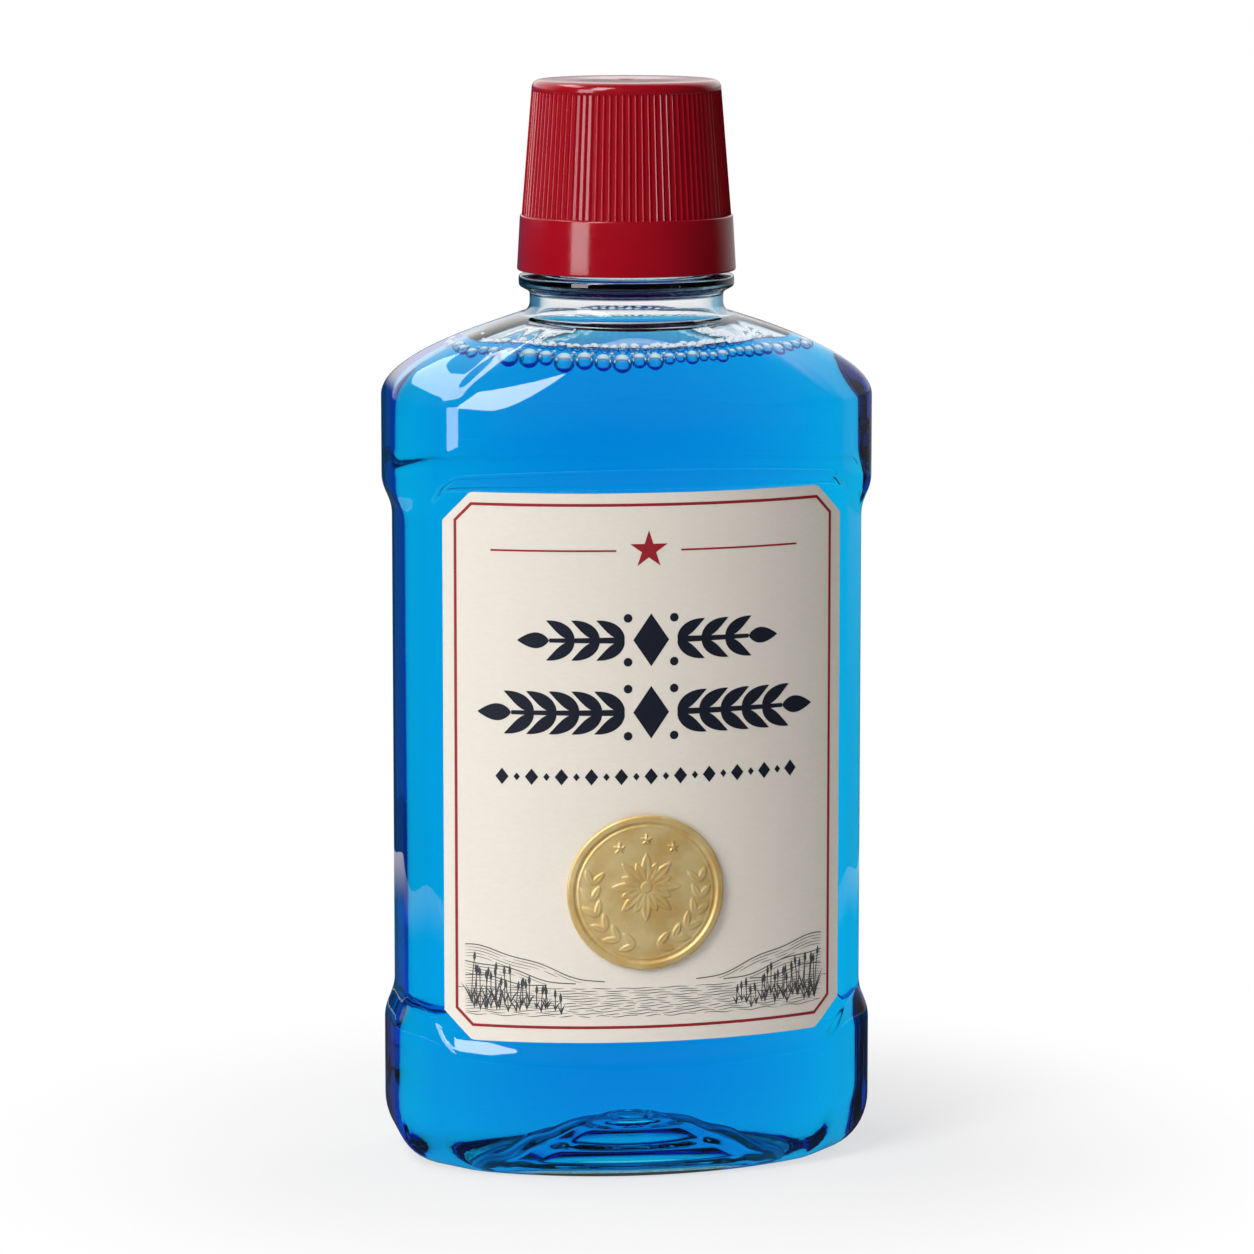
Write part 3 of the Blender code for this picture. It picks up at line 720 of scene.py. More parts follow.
def innerShoulder(soak=0.0):
    # the inside of the shoulder's wall, or a surface that lies this deep in it
    top = shoulderTop - bottle["neckWall"] + soak
    return shoulderLines(bottle["wall"] - soak, top, bottle["frontPowers"][1])


def bodyRows(inset, lift, lines, steps, last=1.0):
    # from the middle of the base, round the heel and over the panel, up the shoulder's lines
    heel = heelRows(inset, lift)
    spaced = [share ** bottle["shoulderCrowding"] * last for share in shares(steps)]
    shoulder = [[shoulderPoint(line, share) for line in lines] for share in spaced]
    sides = softened([(heel[-1], 0), *panelPath(inset), (shoulder[0], 0)])
    return baseRows(lift) + heel + sides[1:-1] + shoulder


def rootRows(radius, z, rootRound):
    rows = []
    for sine, cosine in quarterArc(bottle["neckSteps"])[1:]:
        rows.append(neckCircle(radius + rootRound * (1 - sine), z + rootRound * (1 - cosine)))
    return rows


def threadShare(angle, z, start, turns):
    # how proud a right-handed thread stands here, from 0 to 1, fading in and out at its ends
    first, last = turns
    top, foot = [width / 2 for width in bottle["threadWidths"]]
    found = 0
    for lap in range(3):
        turn = angle / fullTurn + lap
        if first <= turn <= last:
            fade = bottle["threadFade"]
            ends = eased((turn - first) / fade) * eased((last - turn) / fade)
            away = abs(z - start - bottle["threadPitch"] * turn)
            found = max(found, ends * (1 - eased((away - top) / (foot - top))))
    return found


def threadRow(z):
    plain, deep = bottle["finishRadius"], bottle["threadDepth"]
    start, turns = bottle["threadStart"], bottle["threadTurns"]
    radii = [plain + deep * threadShare(angle, z, start, turns) for angle in neckAngles]
    return [fromFront(radius, angle, z) for radius, angle in zip(radii, neckAngles)]


def makeBottle(dryFinish, wetFinish):
    neck, ring, neckRound = bottle["neckRadius"], bottle["ringRadius"], bottle["neckRound"]
    finishRadius, gap, rounds = bottle["finishRadius"], bottle["rowGap"], bottle["ringRounds"]
    count = int((rimTop - ringTop - 2 * bottle["plainFinish"]) / bottle["threadStep"])
    threadZ = [ringTop + bottle["plainFinish"] + bottle["threadStep"] * k for k in range(count)]
    outerLines = shoulderLines(0, shoulderTop, bottle["frontPowers"][0])
    outside = bodyRows(0, 0, outerLines, bottle["shoulderSteps"])
    outside += rootRows(neck, shoulderTop, neckRound)
    outside += neckRows([
        (neck, shoulderTop + neckRound + gap, 0), (neck, ringBottom, rounds[0]),
        (ring, ringBottom + bottle["ringHeights"][0], rounds[1]), (ring, ringTop, rounds[2]),
        (finishRadius, ringTop, rounds[3]), (finishRadius, threadZ[0], 0),
    ])
    outside += [threadRow(z) for z in threadZ[1:]]
    bore, throat = finishRadius - bottle["finishWall"], neck - bottle["neckWall"]
    boreLow, throatTop = bottle["boreDrops"]
    rimRound = bottle["rimRound"]
    rim = neckRows([
        (finishRadius, threadZ[-1] + 2 * gap, 0), (finishRadius, rimTop, rimRound),
        (bore, rimTop, rimRound), (bore, ringTop - boreLow, rimRound),
        (throat, ringTop - throatTop, rimRound), (throat, ringBottom - throatTop, 0),
    ])
    inside = bodyRows(bottle["wall"], bottle["baseWall"], innerShoulder(), bottle["shoulderSteps"])
    inside += rootRows(throat, shoulderTop - bottle["neckWall"], neckRound + bottle["neckWall"])
    parts = [loft(outside + rim + inside[::-1])]
    piece = addPiece("clearBottle", parts, dryFinish, "bottle", ["bottle"])
    piece.data.materials.append(wetFinish)
    firstInside = (len(outside) + len(rim)) * len(neckAngles)
    for face in piece.data.polygons:
        wet = face.center.z < (fillLevel + mouthwash["meniscus"]) * mm
        face.material_index = int(face.index > firstInside and wet)


dryPlastic = clearFinish("clearPlastic", bottle["bends"], bottle["waves"])[0]
# where the mouthwash wets the wall, light bends less
wetPlastic = clearFinish("wetPlastic", bottle["bends"] / mouthwash["bends"], bottle["waves"])[0]
makeBottle(dryPlastic, wetPlastic)
print("bottle is blown")


# Bubbles along the mouthwash's edge: large ones just under its surface, and froth on it

foam = {
    "seed": 11,
    "film": 0.16,
    "ballSides": (18, 10),  # sides and rings of the bubbles under the surface
    "frothSides": ((14, 8), (12, 7)),  # and of froth: outside, inside
    "gap": 0.08,  # between the bubbles and the wall
    "pathStep": 0.25,
    "largeFrom": (-25, 2),  # where the largest ones are, from left to right, at the front
    "large": (1.25, 1.85),
    "middling": (0.8, 1.35),
    "small": (0.6, 1.1),
    "sink": (0.1, 0.5),
    "spacing": 1.02,  # of their width, from one to the next
    "tiny": (0.22, 0.34),  # those in the gaps, of the one before
    "tinySink": 0.05,
    "froth": (0.3, 0.75),
    "frothRows": (3, 6),  # at the left and at the right
    "frothLifts": (0.45, 0.35),  # of a radius: along the wall, and farther in
    "frothIn": (0.8, 0.85),  # first row, of the bubble at the wall, and from row to row
    "frothStray": (-0.3, 0.5),
    "frothSpacing": 0.96,
    # painted highlight on the tops of the bubbles: its colour, and how it grows towards the top
    "paintedTopColour": (0.80, 0.92, 1.0),
    "litFrom": 0.52,  # height on a bubble, of its radius, from which its top has a painted highlight
    "litRise": 1.9,
    "litMost": 0.8,
    "waves": (800, 2, 0.00004, 0.2),
}


def ball(middle, radius, sides, rings):
    rows = []
    for k in range(1, rings):
        angle = math.pi * k / rings
        z = middle[2] - radius * math.cos(angle)
        ring = circle(radius * math.sin(angle), z, sides)
        rows.append([(middle[0] + x, middle[1] + y, z) for x, y, z in ring])
    return loft(rows)


def paintedTopLights(points, middle, radius):
    # how much painted highlight each point of a bubble gets, growing towards its top
    heights = [max(0, (z - middle[2]) / radius - foam["litFrom"]) for _, _, z in points]
    return [min(foam["litMost"], foam["litRise"] * height) for height in heights]


def setPaintedTopLights(piece, lights):
    values = piece.data.attributes.new("topLight", "FLOAT", "POINT")
    values.data.foreach_set("value", lights)


def paintTopHighlights(tree, surface):
    # the upper part of a bubble glows with a painted highlight
    top = addNode(tree, "Attribute", attribute_name="topLight").outputs["Fac"]
    setOutput(tree, "Surface", shaderMix(tree, top, surface, glow(tree, foam["paintedTopColour"])))


def evenPoints(path, step):
    # places all along a closed path, about a step apart
    lengths = [math.dist(a, b) for a, b in zip(path, path[1:] + path[:1])]
    total = sum(lengths)
    count = int(total / step)
    found, edge, walked = [], 0, 0
    for k in range(count):
        target = total * k / count
        while walked + lengths[edge] < target:
            walked += lengths[edge]
            edge += 1
        share = (target - walked) / lengths[edge]
        found.append(between(path[edge], path[(edge + 1) % len(path)], share))
    return found


def shoreline():
    # places along the surface's edge: x, y, how much the wall leans in, and the way inward
    lines = innerShoulder()
    low, high = shoulderLevel(lines, fillLevel), shoulderLevel(lines, fillLevel + 1)
    path = [(a[0], a[1], math.dist(a[:2], b[:2])) for a, b in zip(low, high)]
    path = evenPoints(path, foam["pathStep"])
    moved = drawnIn([(x, y) for x, y, _ in path], 1.0)
    return [(x, y, lean, nextX - x, nextY - y) for (x, y, lean), (nextX, nextY) in zip(path, moved)]


shore = shoreline()


def restingOn(place, radius, z, inward=0.0):
    # a bubble that rests against the wall at this height, or this far from it
    x, y, lean, wayX, wayY = place
    shift = lean * (z - fillLevel) + (radius + foam["gap"]) * math.hypot(1, lean) + inward
    return ((x + wayX * shift, y + wayY * shift, z), radius)


def sunkBubbles():
    chance = random.Random(foam["seed"])
    found, walked = [], 0
    while walked < len(shore) - 4:
        x, y = shore[int(walked)][:2]
        size = "large" if foam["largeFrom"][0] < x < foam["largeFrom"][1] else "middling"
        radius = chance.uniform(*foam[size if y < 0 else "small"])
        place = shore[int(walked + radius / foam["pathStep"]) % len(shore)]
        sink = chance.uniform(*foam["sink"])
        found.append(restingOn(place, radius, fillLevel - radius - sink))
        walked += 2 * radius / foam["pathStep"] * foam["spacing"]
        # and a tiny one above the gap to the next
        tiny = radius * chance.uniform(*foam["tiny"])
        place = shore[int(walked) % len(shore)]
        found.append(restingOn(place, tiny, fillLevel - tiny - foam["tinySink"]))
    return found


def frothBubbles():
    chance = random.Random(foam["seed"] + 1)
    wallLift, innerLift = foam["frothLifts"]
    firstIn, stepIn = foam["frothIn"]
    found, walked = [], 0
    while walked < len(shore):
        place = shore[int(walked)]
        radius = chance.uniform(*foam["small"])
        found.append(restingOn(place, radius, fillLevel + wallLift * radius))
        for k in range(foam["frothRows"][int(place[0] > 0)]):
            small = chance.uniform(*foam["froth"])
            inward = 2 * radius * firstIn + stepIn * k + chance.uniform(*foam["frothStray"])
            found.append(restingOn(place, small, fillLevel + innerLift * small, inward))
        walked += 2 * radius / foam["pathStep"] * foam["frothSpacing"]
    return found


# Mouthwash

def makeMouthwash(finish, hollows):
    soak, meniscus = mouthwash["soak"], mouthwash["meniscus"]
    lines = innerShoulder(soak)
    highest = max(line[0][2] for line in lines)
    last = (fillLevel - highest) / (lines[0][1][2] - highest)
    inset, lift = bottle["wall"] - soak, bottle["baseWall"] - soak
    rows = bodyRows(inset, lift, lines, mouthwash["shoulderSteps"], last)
    rows.append(shoulderLevel(lines, fillLevel + meniscus / 2))
    edge = shoulderLevel(lines, fillLevel + meniscus)
    rows.append(edge)
    wallFaces = (len(rows) - 1) * len(edge)
    edgeOutline = [(x, y) for x, y, _ in edge]
    for inward in mouthwash["openRows"]:
        away = max(0, inward - mouthwash["meniscusFrom"])
        height = meniscus * math.exp(-away / mouthwash["meniscusWide"])
        rows.append([(x, y, fillLevel + height) for x, y in drawnIn(edgeOutline, inward)])
    inner = rows[-1]
    for share in mouthwash["middleRows"]:
        rows.append([(x * share, y * share, fillLevel) for x, y, _ in inner])
    # bubbles under the surface are hollows in the mouthwash, with a painted highlight on their tops
    parts = [loft(rows)]
    lights = [0.0] * len(parts[0][0])
    for middle, radius in hollows:
        hollow = ball(middle, radius, *foam["ballSides"])
        parts.append(turnedOut(hollow))
        lights += paintedTopLights(hollow[0], middle, radius)
    piece = addPiece("mouthwashFill", parts, finish, "bottle", ["mouthwash"])
    setPaintedTopLights(piece, lights)
    # its open surface and the bubbles bend light, and along the wall the wet plastic does that
    bottom = (len(rows) - 1) * len(edge)
    opened = piece.data.attributes.new("openSurface", "FLOAT", "FACE")
    for face in piece.data.polygons:
        opened.data[face.index].value = float(face.index >= wallFaces and face.index != bottom)


blueRinse, tree, clear = clearFinish("blueRinse", mouthwash["bends"], mouthwash["waves"])
opened = addNode(tree, "Attribute", attribute_name="openSurface").outputs["Fac"]
straight = addNode(tree, "BsdfTransparent").outputs[0]
# the bubbles' tops glow with a painted highlight, mixed over the clear surface
paintTopHighlights(tree, shaderMix(tree, opened, straight, clear))
absorption = {"Color": mouthwash["absorption"], "Density": mouthwash["density"]}
setOutput(tree, "Volume", addNode(tree, "VolumeAbsorption", absorption).outputs[0])
makeMouthwash(blueRinse, sunkBubbles())
print("mouthwash is filled in")


# Cap shell

cap = {
    "ribs": 96,
    "ribPoints": 10,
    "ribDepth": 0.24,
    "ribPower": 16,  # how narrow the ridges are
    "ribTip": 0.5,  # how far the ribs take to die out under the crown
    "ribGaps": (0.12, 0.2),  # from the band up to the ribs, and from them up to the crown
    "rows": (16, 6, 10),  # of ribs, tips and crown
    "bandStep": 0.3,
    "bandTaper": 0.55,
    "bandTop": 166.5,
    "bandRound": 0.25,
    "bandLedge": (0.2, 0.1),  # where the ledge above the band leads: in and up
    "ribTop": 188.6,
    "ribTaper": 1.79,
    "edgeRound": 0.4,
    "crownRound": 1.6,
    "crownWall": 1.3,
    "wall": 1.0,
    "insideMiddle": 2.0,
    "insideIn": 0.2,  # how far the inside draws in at the top
    "insideRounds": (1.2, 0.5, 0.2),  # at the top, the band and the edge
    # radius and height of the gate mark on top
    "dimple": ((2.0, 0.0), (1.6, -0.1), (1.3, -0.32), (0.4, -0.4)),
    "colours": ((0.30, 0.003, 0.010), (0.36, 0.005, 0.014)),
    "mottle": (180, 4),
    "roughness": (0.09, 0.16),
    "smears": (900, 5),
    "grain": (2600, 3, 0.00002, 0.15),
    "bends": 1.5,
}

ribRadius = shellHigh.x - cap["bandTaper"] - cap["bandStep"]


def wallRadius(z):
    return ribRadius - cap["ribTaper"] * (z - cap["bandTop"]) / (cap["ribTop"] - cap["bandTop"])


def shellInside(z):
    if z < cap["bandTop"]:
        share = (cap["bandTop"] - z) / (cap["bandTop"] - shellLow.z)
        return ribRadius - cap["ribDepth"] - cap["wall"] + cap["bandTaper"] * share
    return wallRadius(z) - cap["ribDepth"] - cap["wall"]


def ribbedRow(z, share):
    # narrow rounded ridges with wide flutes between them
    sides = cap["ribs"] * cap["ribPoints"]
    row = []
    for k in range(sides):
        wave = abs(math.cos(math.pi * k / cap["ribPoints"]))
        radius = wallRadius(z) - cap["ribDepth"] * (1 - wave ** cap["ribPower"]) * share
        row.append(polar(radius, fullTurn * k / sides, z))
    return row


def makeCapShell(finish):
    sides = cap["ribs"] * cap["ribPoints"]
    low, top, bandTop, ribTop = shellLow.z, shellHigh.z, cap["bandTop"], cap["ribTop"]
    edge = (shellHigh.x - 2 * cap["edgeRound"], low, 0)
    ledgeIn, ledgeUp = cap["bandLedge"]
    outside = turnedRows([
        edge, (shellHigh.x, low, cap["edgeRound"]),
        (ribRadius + cap["bandStep"], bandTop, cap["bandRound"]),
        (ribRadius - cap["ribDepth"] - ledgeIn, bandTop + ledgeUp, 0),
    ], sides)[:-1]
    ribLow, ribHigh = bandTop + cap["ribGaps"][0], ribTop - cap["ribGaps"][1]
    ribRows, tipRows, crownRows = cap["rows"]
    for share in shares(ribRows)[:-1]:
        outside.append(ribbedRow(ribLow + (ribHigh - ribLow) * share, 1))
    for share in shares(tipRows):
        outside.append(ribbedRow(ribHigh - cap["ribTip"] * (1 - share), 1 - eased(share)))
    for sine, cosine in quarterArc(crownRows):
        out = wallRadius(ribTop) - cap["crownRound"] * (1 - cosine)
        outside.append(circle(out, ribTop + (top - ribTop) * sine, sides))
    outside += [circle(radius, top + z, sides) for radius, z in cap["dimple"]]
    # from the inner crown down the inner wall to the lower edge
    innerTop = top - cap["crownWall"]
    topRound, bandRound, edgeRound = cap["insideRounds"]
    inside = turnedRows([
        (cap["insideMiddle"], innerTop, 0),
        (shellInside(ribTop) - cap["insideIn"], innerTop, topRound),
        (shellInside(bandTop), bandTop, bandRound), (shellInside(low), low, edgeRound), edge,
    ], sides)
    addPiece("capShell", [loft(inside + outside[1:])], finish, "cap", ["cap_shell"])


redPlastic, tree, shader = newFinish("redPlastic", {"IOR": cap["bends"]})
addVariety(tree, shader, noiseField(tree, *cap["mottle"]), cap)
makeCapShell(redPlastic)
print("cap is moulded")


# Dosing cup inside the cap, with its own screw thread

cup = {
    "wall": 0.9,
    "bore": 15.3,
    "flange": 1.6,
    "chamber": 12.6,
    "draft": 0.7,
    "round": 1.5,
    "middles": (2.0, 1.0),  # radius of the flat middle: inside, outside
    "sealGap": 0.3,  # from the seal ring up to the ledge
    "ledgeRounds": (0.2, 0.3),
    "sleeveRounds": (0.15, 0.3, 0.3),  # lower edge inside, lower edge outside, flange
    "flangeRounds": (0.25, 0.25, 0.4),
    "topRound": 1.9,
    "plainTops": (1.5, 1.7),  # below the ledge, down to the end of its rows and to the thread's
    "plainLow": (0.2, 0.4),  # and above the lower edge
    "threadDrop": 1.7,  # below the bottle's thread, so that one turns under the other
    "threadTurns": (0.3, 1.55),
    "sides": 144,
}


def cupThreadRow(z):
    row = []
    for k in range(cup["sides"]):
        angle = fullTurn * k / cup["sides"]
        # the thread's angle counts from the front, as the bottle's does
        turn = (angle + quarterTurn) % fullTurn
        share = threadShare(turn, z, bottle["threadStart"] - cup["threadDrop"], cup["threadTurns"])
        radius = cup["bore"] - bottle["threadDepth"] * share
        row.append(polar(radius, angle, z))
    return row


def makeDosingCup(finish):
    wall, bore, sides = cup["wall"], cup["bore"], cup["sides"]
    low, top, narrow = cupLow.z, cupHigh.z, cup["chamber"] - cup["draft"]
    ledge = sealHigh.z + cup["sealGap"]
    flangeTop = ledge + wall
    flangeLow = flangeTop - cup["flange"]
    chamber = turnedRows([
        (cup["middles"][0], top - wall, 0), (narrow, top - wall, cup["round"]),
        (cup["chamber"], ledge, cup["ledgeRounds"][0]), (bore, ledge, cup["ledgeRounds"][1]),
        (bore, ledge - cup["plainTops"][0], 0),
    ], sides)
    sleeveLow = low + cup["plainLow"][1]
    span = ledge - cup["plainTops"][1] - sleeveLow
    count = int(span / bottle["threadStep"])
    sleeve = [cupThreadRow(sleeveLow + span * k / count) for k in range(count, -1, -1)]
    inner, outer, under = cup["sleeveRounds"]
    flange = cup["flangeRounds"]
    outside = turnedRows([
        (bore, low + cup["plainLow"][0], 0), (bore, low, inner), (bore + wall, low, outer),
        (bore + wall, flangeLow, under), (cupHigh.x, flangeLow, flange[0]),
        (cupHigh.x, flangeTop, flange[1]), (cup["chamber"] + wall, flangeTop, flange[2]),
        (narrow + wall, top, cup["topRound"]), (cup["middles"][1], top, 0),
    ], sides)
    parts = [loft(chamber + sleeve + outside)]
    addPiece("dosingCup", parts, finish, "cap", ["dosing_cup"])


makeDosingCup(redPlastic)
print("dosing cup is moulded")


# Seal ring

seal = {
    "hole": 12.6,
    "sidePlay": 0.3,
    "edge": 0.2,
    "sides": 96,
    "colours": ((0.80, 0.80, 0.78), (0.92, 0.92, 0.90)),
    "grain": (4000, 3),
    "grainDepth": (0.00005, 0.8),
}


def makeSealRing(finish):
    hole, outer, edge = seal["hole"], cup["bore"] - seal["sidePlay"], seal["edge"]
    corners = [(hole, sealLow.z), (outer, sealLow.z), (outer, sealHigh.z), (hole, sealHigh.z)]
    profile = [(radius, z, edge) for radius, z in corners + corners[:2]]
    parts = [loft(turnedRows(profile, seal["sides"])[1:-1], closed=True)]
    addPiece("sealRing", parts, finish, "seal", ["seal_ring"])


makeSealRing(grainedFinish("whiteFoam", {"Roughness": 0.8, "IOR": 1.4}, seal["colours"], seal))


# Label

label = {
    "stand": 0.3,  # off the panel
    "thick": 0.2,
    "corner": 5.0,
    "sideMargin": 1.8,
    "mesh": (120, 30),  # steps across and up
    "inkThick": 0.03,
    "inkDeep": 0.05,  # how far ink reaches into the paper
    "lineStep": 1.5,  # between the points of a long line
    "keylineIn": (2.3, 2.7, 2.3, 2.0),  # right, bottom, left, top
    "keylineCorner": 2.9,
    "keylineWide": 0.5,
    "leafSteps": (14, 4),  # of a printed leaf: along and across
    "leafPowers": (0.8, 0.9),  # how far up it is widest, and how pointed it is
    "leafTip": 0.02,  # width of its ends
    "colours": ((0.78, 0.72, 0.63), (0.84, 0.79, 0.71)),
    "grain": (700, 6, (1, 1, 3)),  # fibres
    "grainDepth": (0.00006, 0.5),
    # painted glow on the label's back, standing in for light through the bottle
    "paintedBackGlow": 0.6,
}

panelCornerX = panelHalfWidth - bottle["panelCorner"][0]
panelRadius = bowRadius(panelHalfDepth, panelCornerX, sideY + bottle["panelCorner"][1])
labelHalf = panelRadius * math.asin(panelCornerX / panelRadius) - label["sideMargin"]
labelFace = label["stand"] + label["thick"]
inkTop, inkUnder = labelFace + label["inkThick"], labelFace - label["inkDeep"]


def onLabel(along, z, lift):
    # a point over the panel: a distance round its bow, a height, and how far it stands off
    angle = along / panelRadius
    out = panelRadius + lift
    return (out * math.sin(angle), panelRadius - panelHalfDepth - out * math.cos(angle), z)


def makeLabel(finish, backFinish):
    inner = labelHalf - label["corner"]
    across, up = label["mesh"]
    rows = []
    for share in shares(across):
        along = labelHalf * (1 - 2 * share)
        cut = max(0, abs(along) - inner)
        bottom, top = labelLow.z + cut, labelHigh.z - cut
        face = [onLabel(along, bottom + (top - bottom) * t, labelFace) for t in shares(up)]
        back = [onLabel(along, top - (top - bottom) * t, label["stand"]) for t in shares(up)]
        rows.append(face + back)
    piece = addPiece("paperLabel", [loft(rows)], finish, "bottle", ["front_label"])
    piece.data.materials.append(backFinish)
    for face in piece.data.polygons:
        face.material_index = int(face.normal.y > 0.5)


def paperFinish(name, brightness):
    values = {"Roughness": 0.6, "IOR": 1.45, "Emission Strength": brightness}
    return grainedFinish(name, values, label["colours"], label, ("Base Color", "Emission Color"))


# the back has a painted glow that stands in for the light coming through the bottle
makeLabel(paperFinish("creamPaper", 0.0), paperFinish("paperBack", label["paintedBackGlow"]))
print("label is stuck on")


# Printing on the label: thin ink shapes that follow its bow

inks = {
    "red": ((0.30, 0.012, 0.020), (0.36, 0.016, 0.026)),
    "navy": ((0.006, 0.008, 0.018), (0.012, 0.015, 0.030)),
    "grey": ((0.06, 0.06, 0.065), (0.10, 0.10, 0.105)),
    "grain": (1500, 4),
    "grainDepth": (0.00003, 0.4),
}


def addPrint(name, parts):
    ink = grainedFinish(name + "Ink", {"Roughness": 0.5, "IOR": 1.45}, inks[name], inks)
    addPiece(name + "Print", parts, ink, "bottle", sharp=30)


def inkBand(path, widths, across=2):
    # a band of ink along a path of (along, height) points, with a width for each
    rows = []
    for k, (along, z) in enumerate(path):
        before, after = path[max(k - 1, 0)], path[min(k + 1, len(path) - 1)]
        run = max(math.dist(before, after), 1e-6)
        left = (-(after[1] - before[1]) / run, (after[0] - before[0]) / run)
        reaches = [widths[k] / 2 * (1 - 2 * t) for t in shares(across)]
        places = [(along + left[0] * reach, z + left[1] * reach) for reach in reaches]
        row = [onLabel(*place, inkTop) for place in places]
        rows.append(row + [onLabel(*place, inkUnder) for place in places[::-1]])
    return loft(rows)


def inkShape(outline, middle):
    # a small flat shape, as an outline of (along, height) points round its middle
    rings = ((0.5, inkUnder), (1, inkUnder), (1, inkTop), (0.6, inkTop), (0.3, inkTop))
    rows = []
    for share, lift in rings:
        rows.append([onLabel(*between(middle, point, share), lift) for point in outline])
    return loft(rows)


def lineSteps(start, end):
    return max(1, round(math.dist(start, end) / label["lineStep"]))


def keyline():
    # a thin closed frame with cut corners
    right, bottom, left, top = label["keylineIn"]
    x0, x1 = -labelHalf + left, labelHalf - right
    z0, z1 = labelLow.z + bottom, labelHigh.z - top
    cut = label["keylineCorner"]
    path = [
        (x0 + cut, z0), (x1 - cut, z0), (x1, z0 + cut), (x1, z1 - cut),
        (x1 - cut, z1), (x0 + cut, z1), (x0, z1 - cut), (x0, z0 + cut),
    ]
    half = label["keylineWide"] / 2
    rows = []
    for side, lift in ((-half, inkTop), (half, inkTop), (half, inkUnder), (-half, inkUnder)):
        corners = drawnIn(path, side)
        row = []
        for k, (a, b) in enumerate(zip(corners, corners[1:] + corners[:1])):
            steps = lineSteps(path[k], path[(k + 1) % len(path)])
            row += [onLabel(*between(a, b, t), lift) for t in shares(steps)[:-1]]
        rows.append(row)
    return loft(rows, closed=True)


def rule(start, end, wide):
    path = [between(start, end, t) for t in shares(lineSteps(start, end))]
    return inkBand(path, [wide] * len(path))


def star(middle, radius, waist):
    # with five points
    outline = []
    for k in range(10):
        angle = quarterTurn + math.pi * k / 5
        outline.append(outFrom(middle, angle, radius * (waist if k % 2 else 1)))
    return inkShape(outline, middle)


def spot(middle, radius):
    outline = [(middle[0] + x, middle[1] + y) for x, y, _ in circle(radius, 0, 20)]
    return inkShape(outline, middle)


def diamond(middle, halfWide, halfTall, steps=1):
    corners = [(0, -1), (1, 0), (0, 1), (-1, 0)]
    corners = [(middle[0] + a * halfWide, middle[1] + b * halfTall) for a, b in corners]
    outline = []
    for a, b in zip(corners, corners[1:] + corners[:1]):
        outline += [between(a, b, t) for t in shares(steps)[:-1]]
    return inkShape(outline, middle)


def leaf(foot, angle, long, wide, bend=0.0):
    # a pointed leaf, widest below its middle, bending to one side
    along, across = label["leafSteps"]
    late, full = label["leafPowers"]
    path, widths = [], []
    for t in shares(along):
        path.append(outFrom(foot, angle + bend * t, long * t))
        widths.append(max(label["leafTip"], wide * math.sin(math.pi * t**late) ** full))
    return inkBand(path, widths, across)


header = {
    "starAt": (-0.4, 110.8),
    "star": (3.4, 0.38),  # radius, and its waist
    "rules": (5.6, 27.2, -0.1),  # from the star: start, end, and height
    "ruleWide": 0.32,
}


def redParts():
    middleX, z = header["starAt"]
    inner, outer, lift = header["rules"]
    parts = [keyline(), star(header["starAt"], *header["star"])]
    for start, end in ((-outer, -inner), (inner, outer)):
        parts.append(rule((middleX + start, z + lift), (middleX + end, z + lift), header["ruleWide"]))
    return parts


addPrint("red", redParts())

ornament = {
    "rows": ((95.2, 23.0, 10.6), (82.6, 30.0, 11.4)),  # middle height, half length, height
    "diamond": (3.1, 4.6, 5),  # half width, half height, and points on a side
    "stemFrom": 4.6,
    "stemWide": (1.1, 0.4),  # at its start, and how much narrower at its end
    "stemSteps": 24,
    "leafStep": 3.9,
    "leaf": (0.56, 0.34),  # length, of the row's height, and width, of its length
    "leafAngle": 50,
    "leafBend": 0.25,
    "tip": (0.52, 0.26),  # last leaf's length and width, of the row's height
    "berry": (0.6, 0.36, 0.75),  # inward, up, of the row's height, and radius
    "diamondRow": (71.4, 25.7, 2.7),  # height, half length, step
    "diamondSizes": (1.45, 0.7),
    "diamondWide": 0.8,  # of its height
}


def sprig(z, halfLength, tall, way):
    # a stem that runs out from the middle, with pairs of leaves and berries on it
    tipLong, tipWide = ornament["tip"]
    start, reach = ornament["stemFrom"], halfLength - tipLong * tall
    run = shares(ornament["stemSteps"])
    stem = [(way * (start + (reach - start) * t), z) for t in run]
    wide, taper = ornament["stemWide"]
    parts = [inkBand(stem, [wide - taper * t for t in run])]
    count = round((reach - start) / ornament["leafStep"])
    long = ornament["leaf"][0] * tall
    berryIn, berryUp, berryRadius = ornament["berry"]
    for k in range(count):
        foot = (way * (start + (reach - start) * k / count), z)
        for side in (1, -1):
            angle = side * math.radians(ornament["leafAngle"])
            if way < 0:
                angle = math.pi - angle
            bend = -way * side * ornament["leafBend"]
            parts.append(leaf(foot, angle, long, ornament["leaf"][1] * long, bend))
            if k == 0:
                parts.append(spot((foot[0] - way * berryIn, z + side * berryUp * tall), berryRadius))
    parts.append(leaf(stem[-1], 0 if way > 0 else math.pi, tipLong * tall, tipWide * tall))
    return parts


def navyParts():
    parts = []
    for z, halfLength, tall in ornament["rows"]:
        for way in (1, -1):
            parts += sprig(z, halfLength, tall, way)
        parts.append(diamond((0.0, z), *ornament["diamond"]))
    z, reach, step = ornament["diamondRow"]
    count = 2 * round(reach / step)
    for k in range(count + 1):
        size = ornament["diamondSizes"][k % 2]
        middle = (-reach + 2 * reach * k / count, z)
        parts.append(diamond(middle, ornament["diamondWide"] * size, size))
    return parts


addPrint("navy", navyParts())

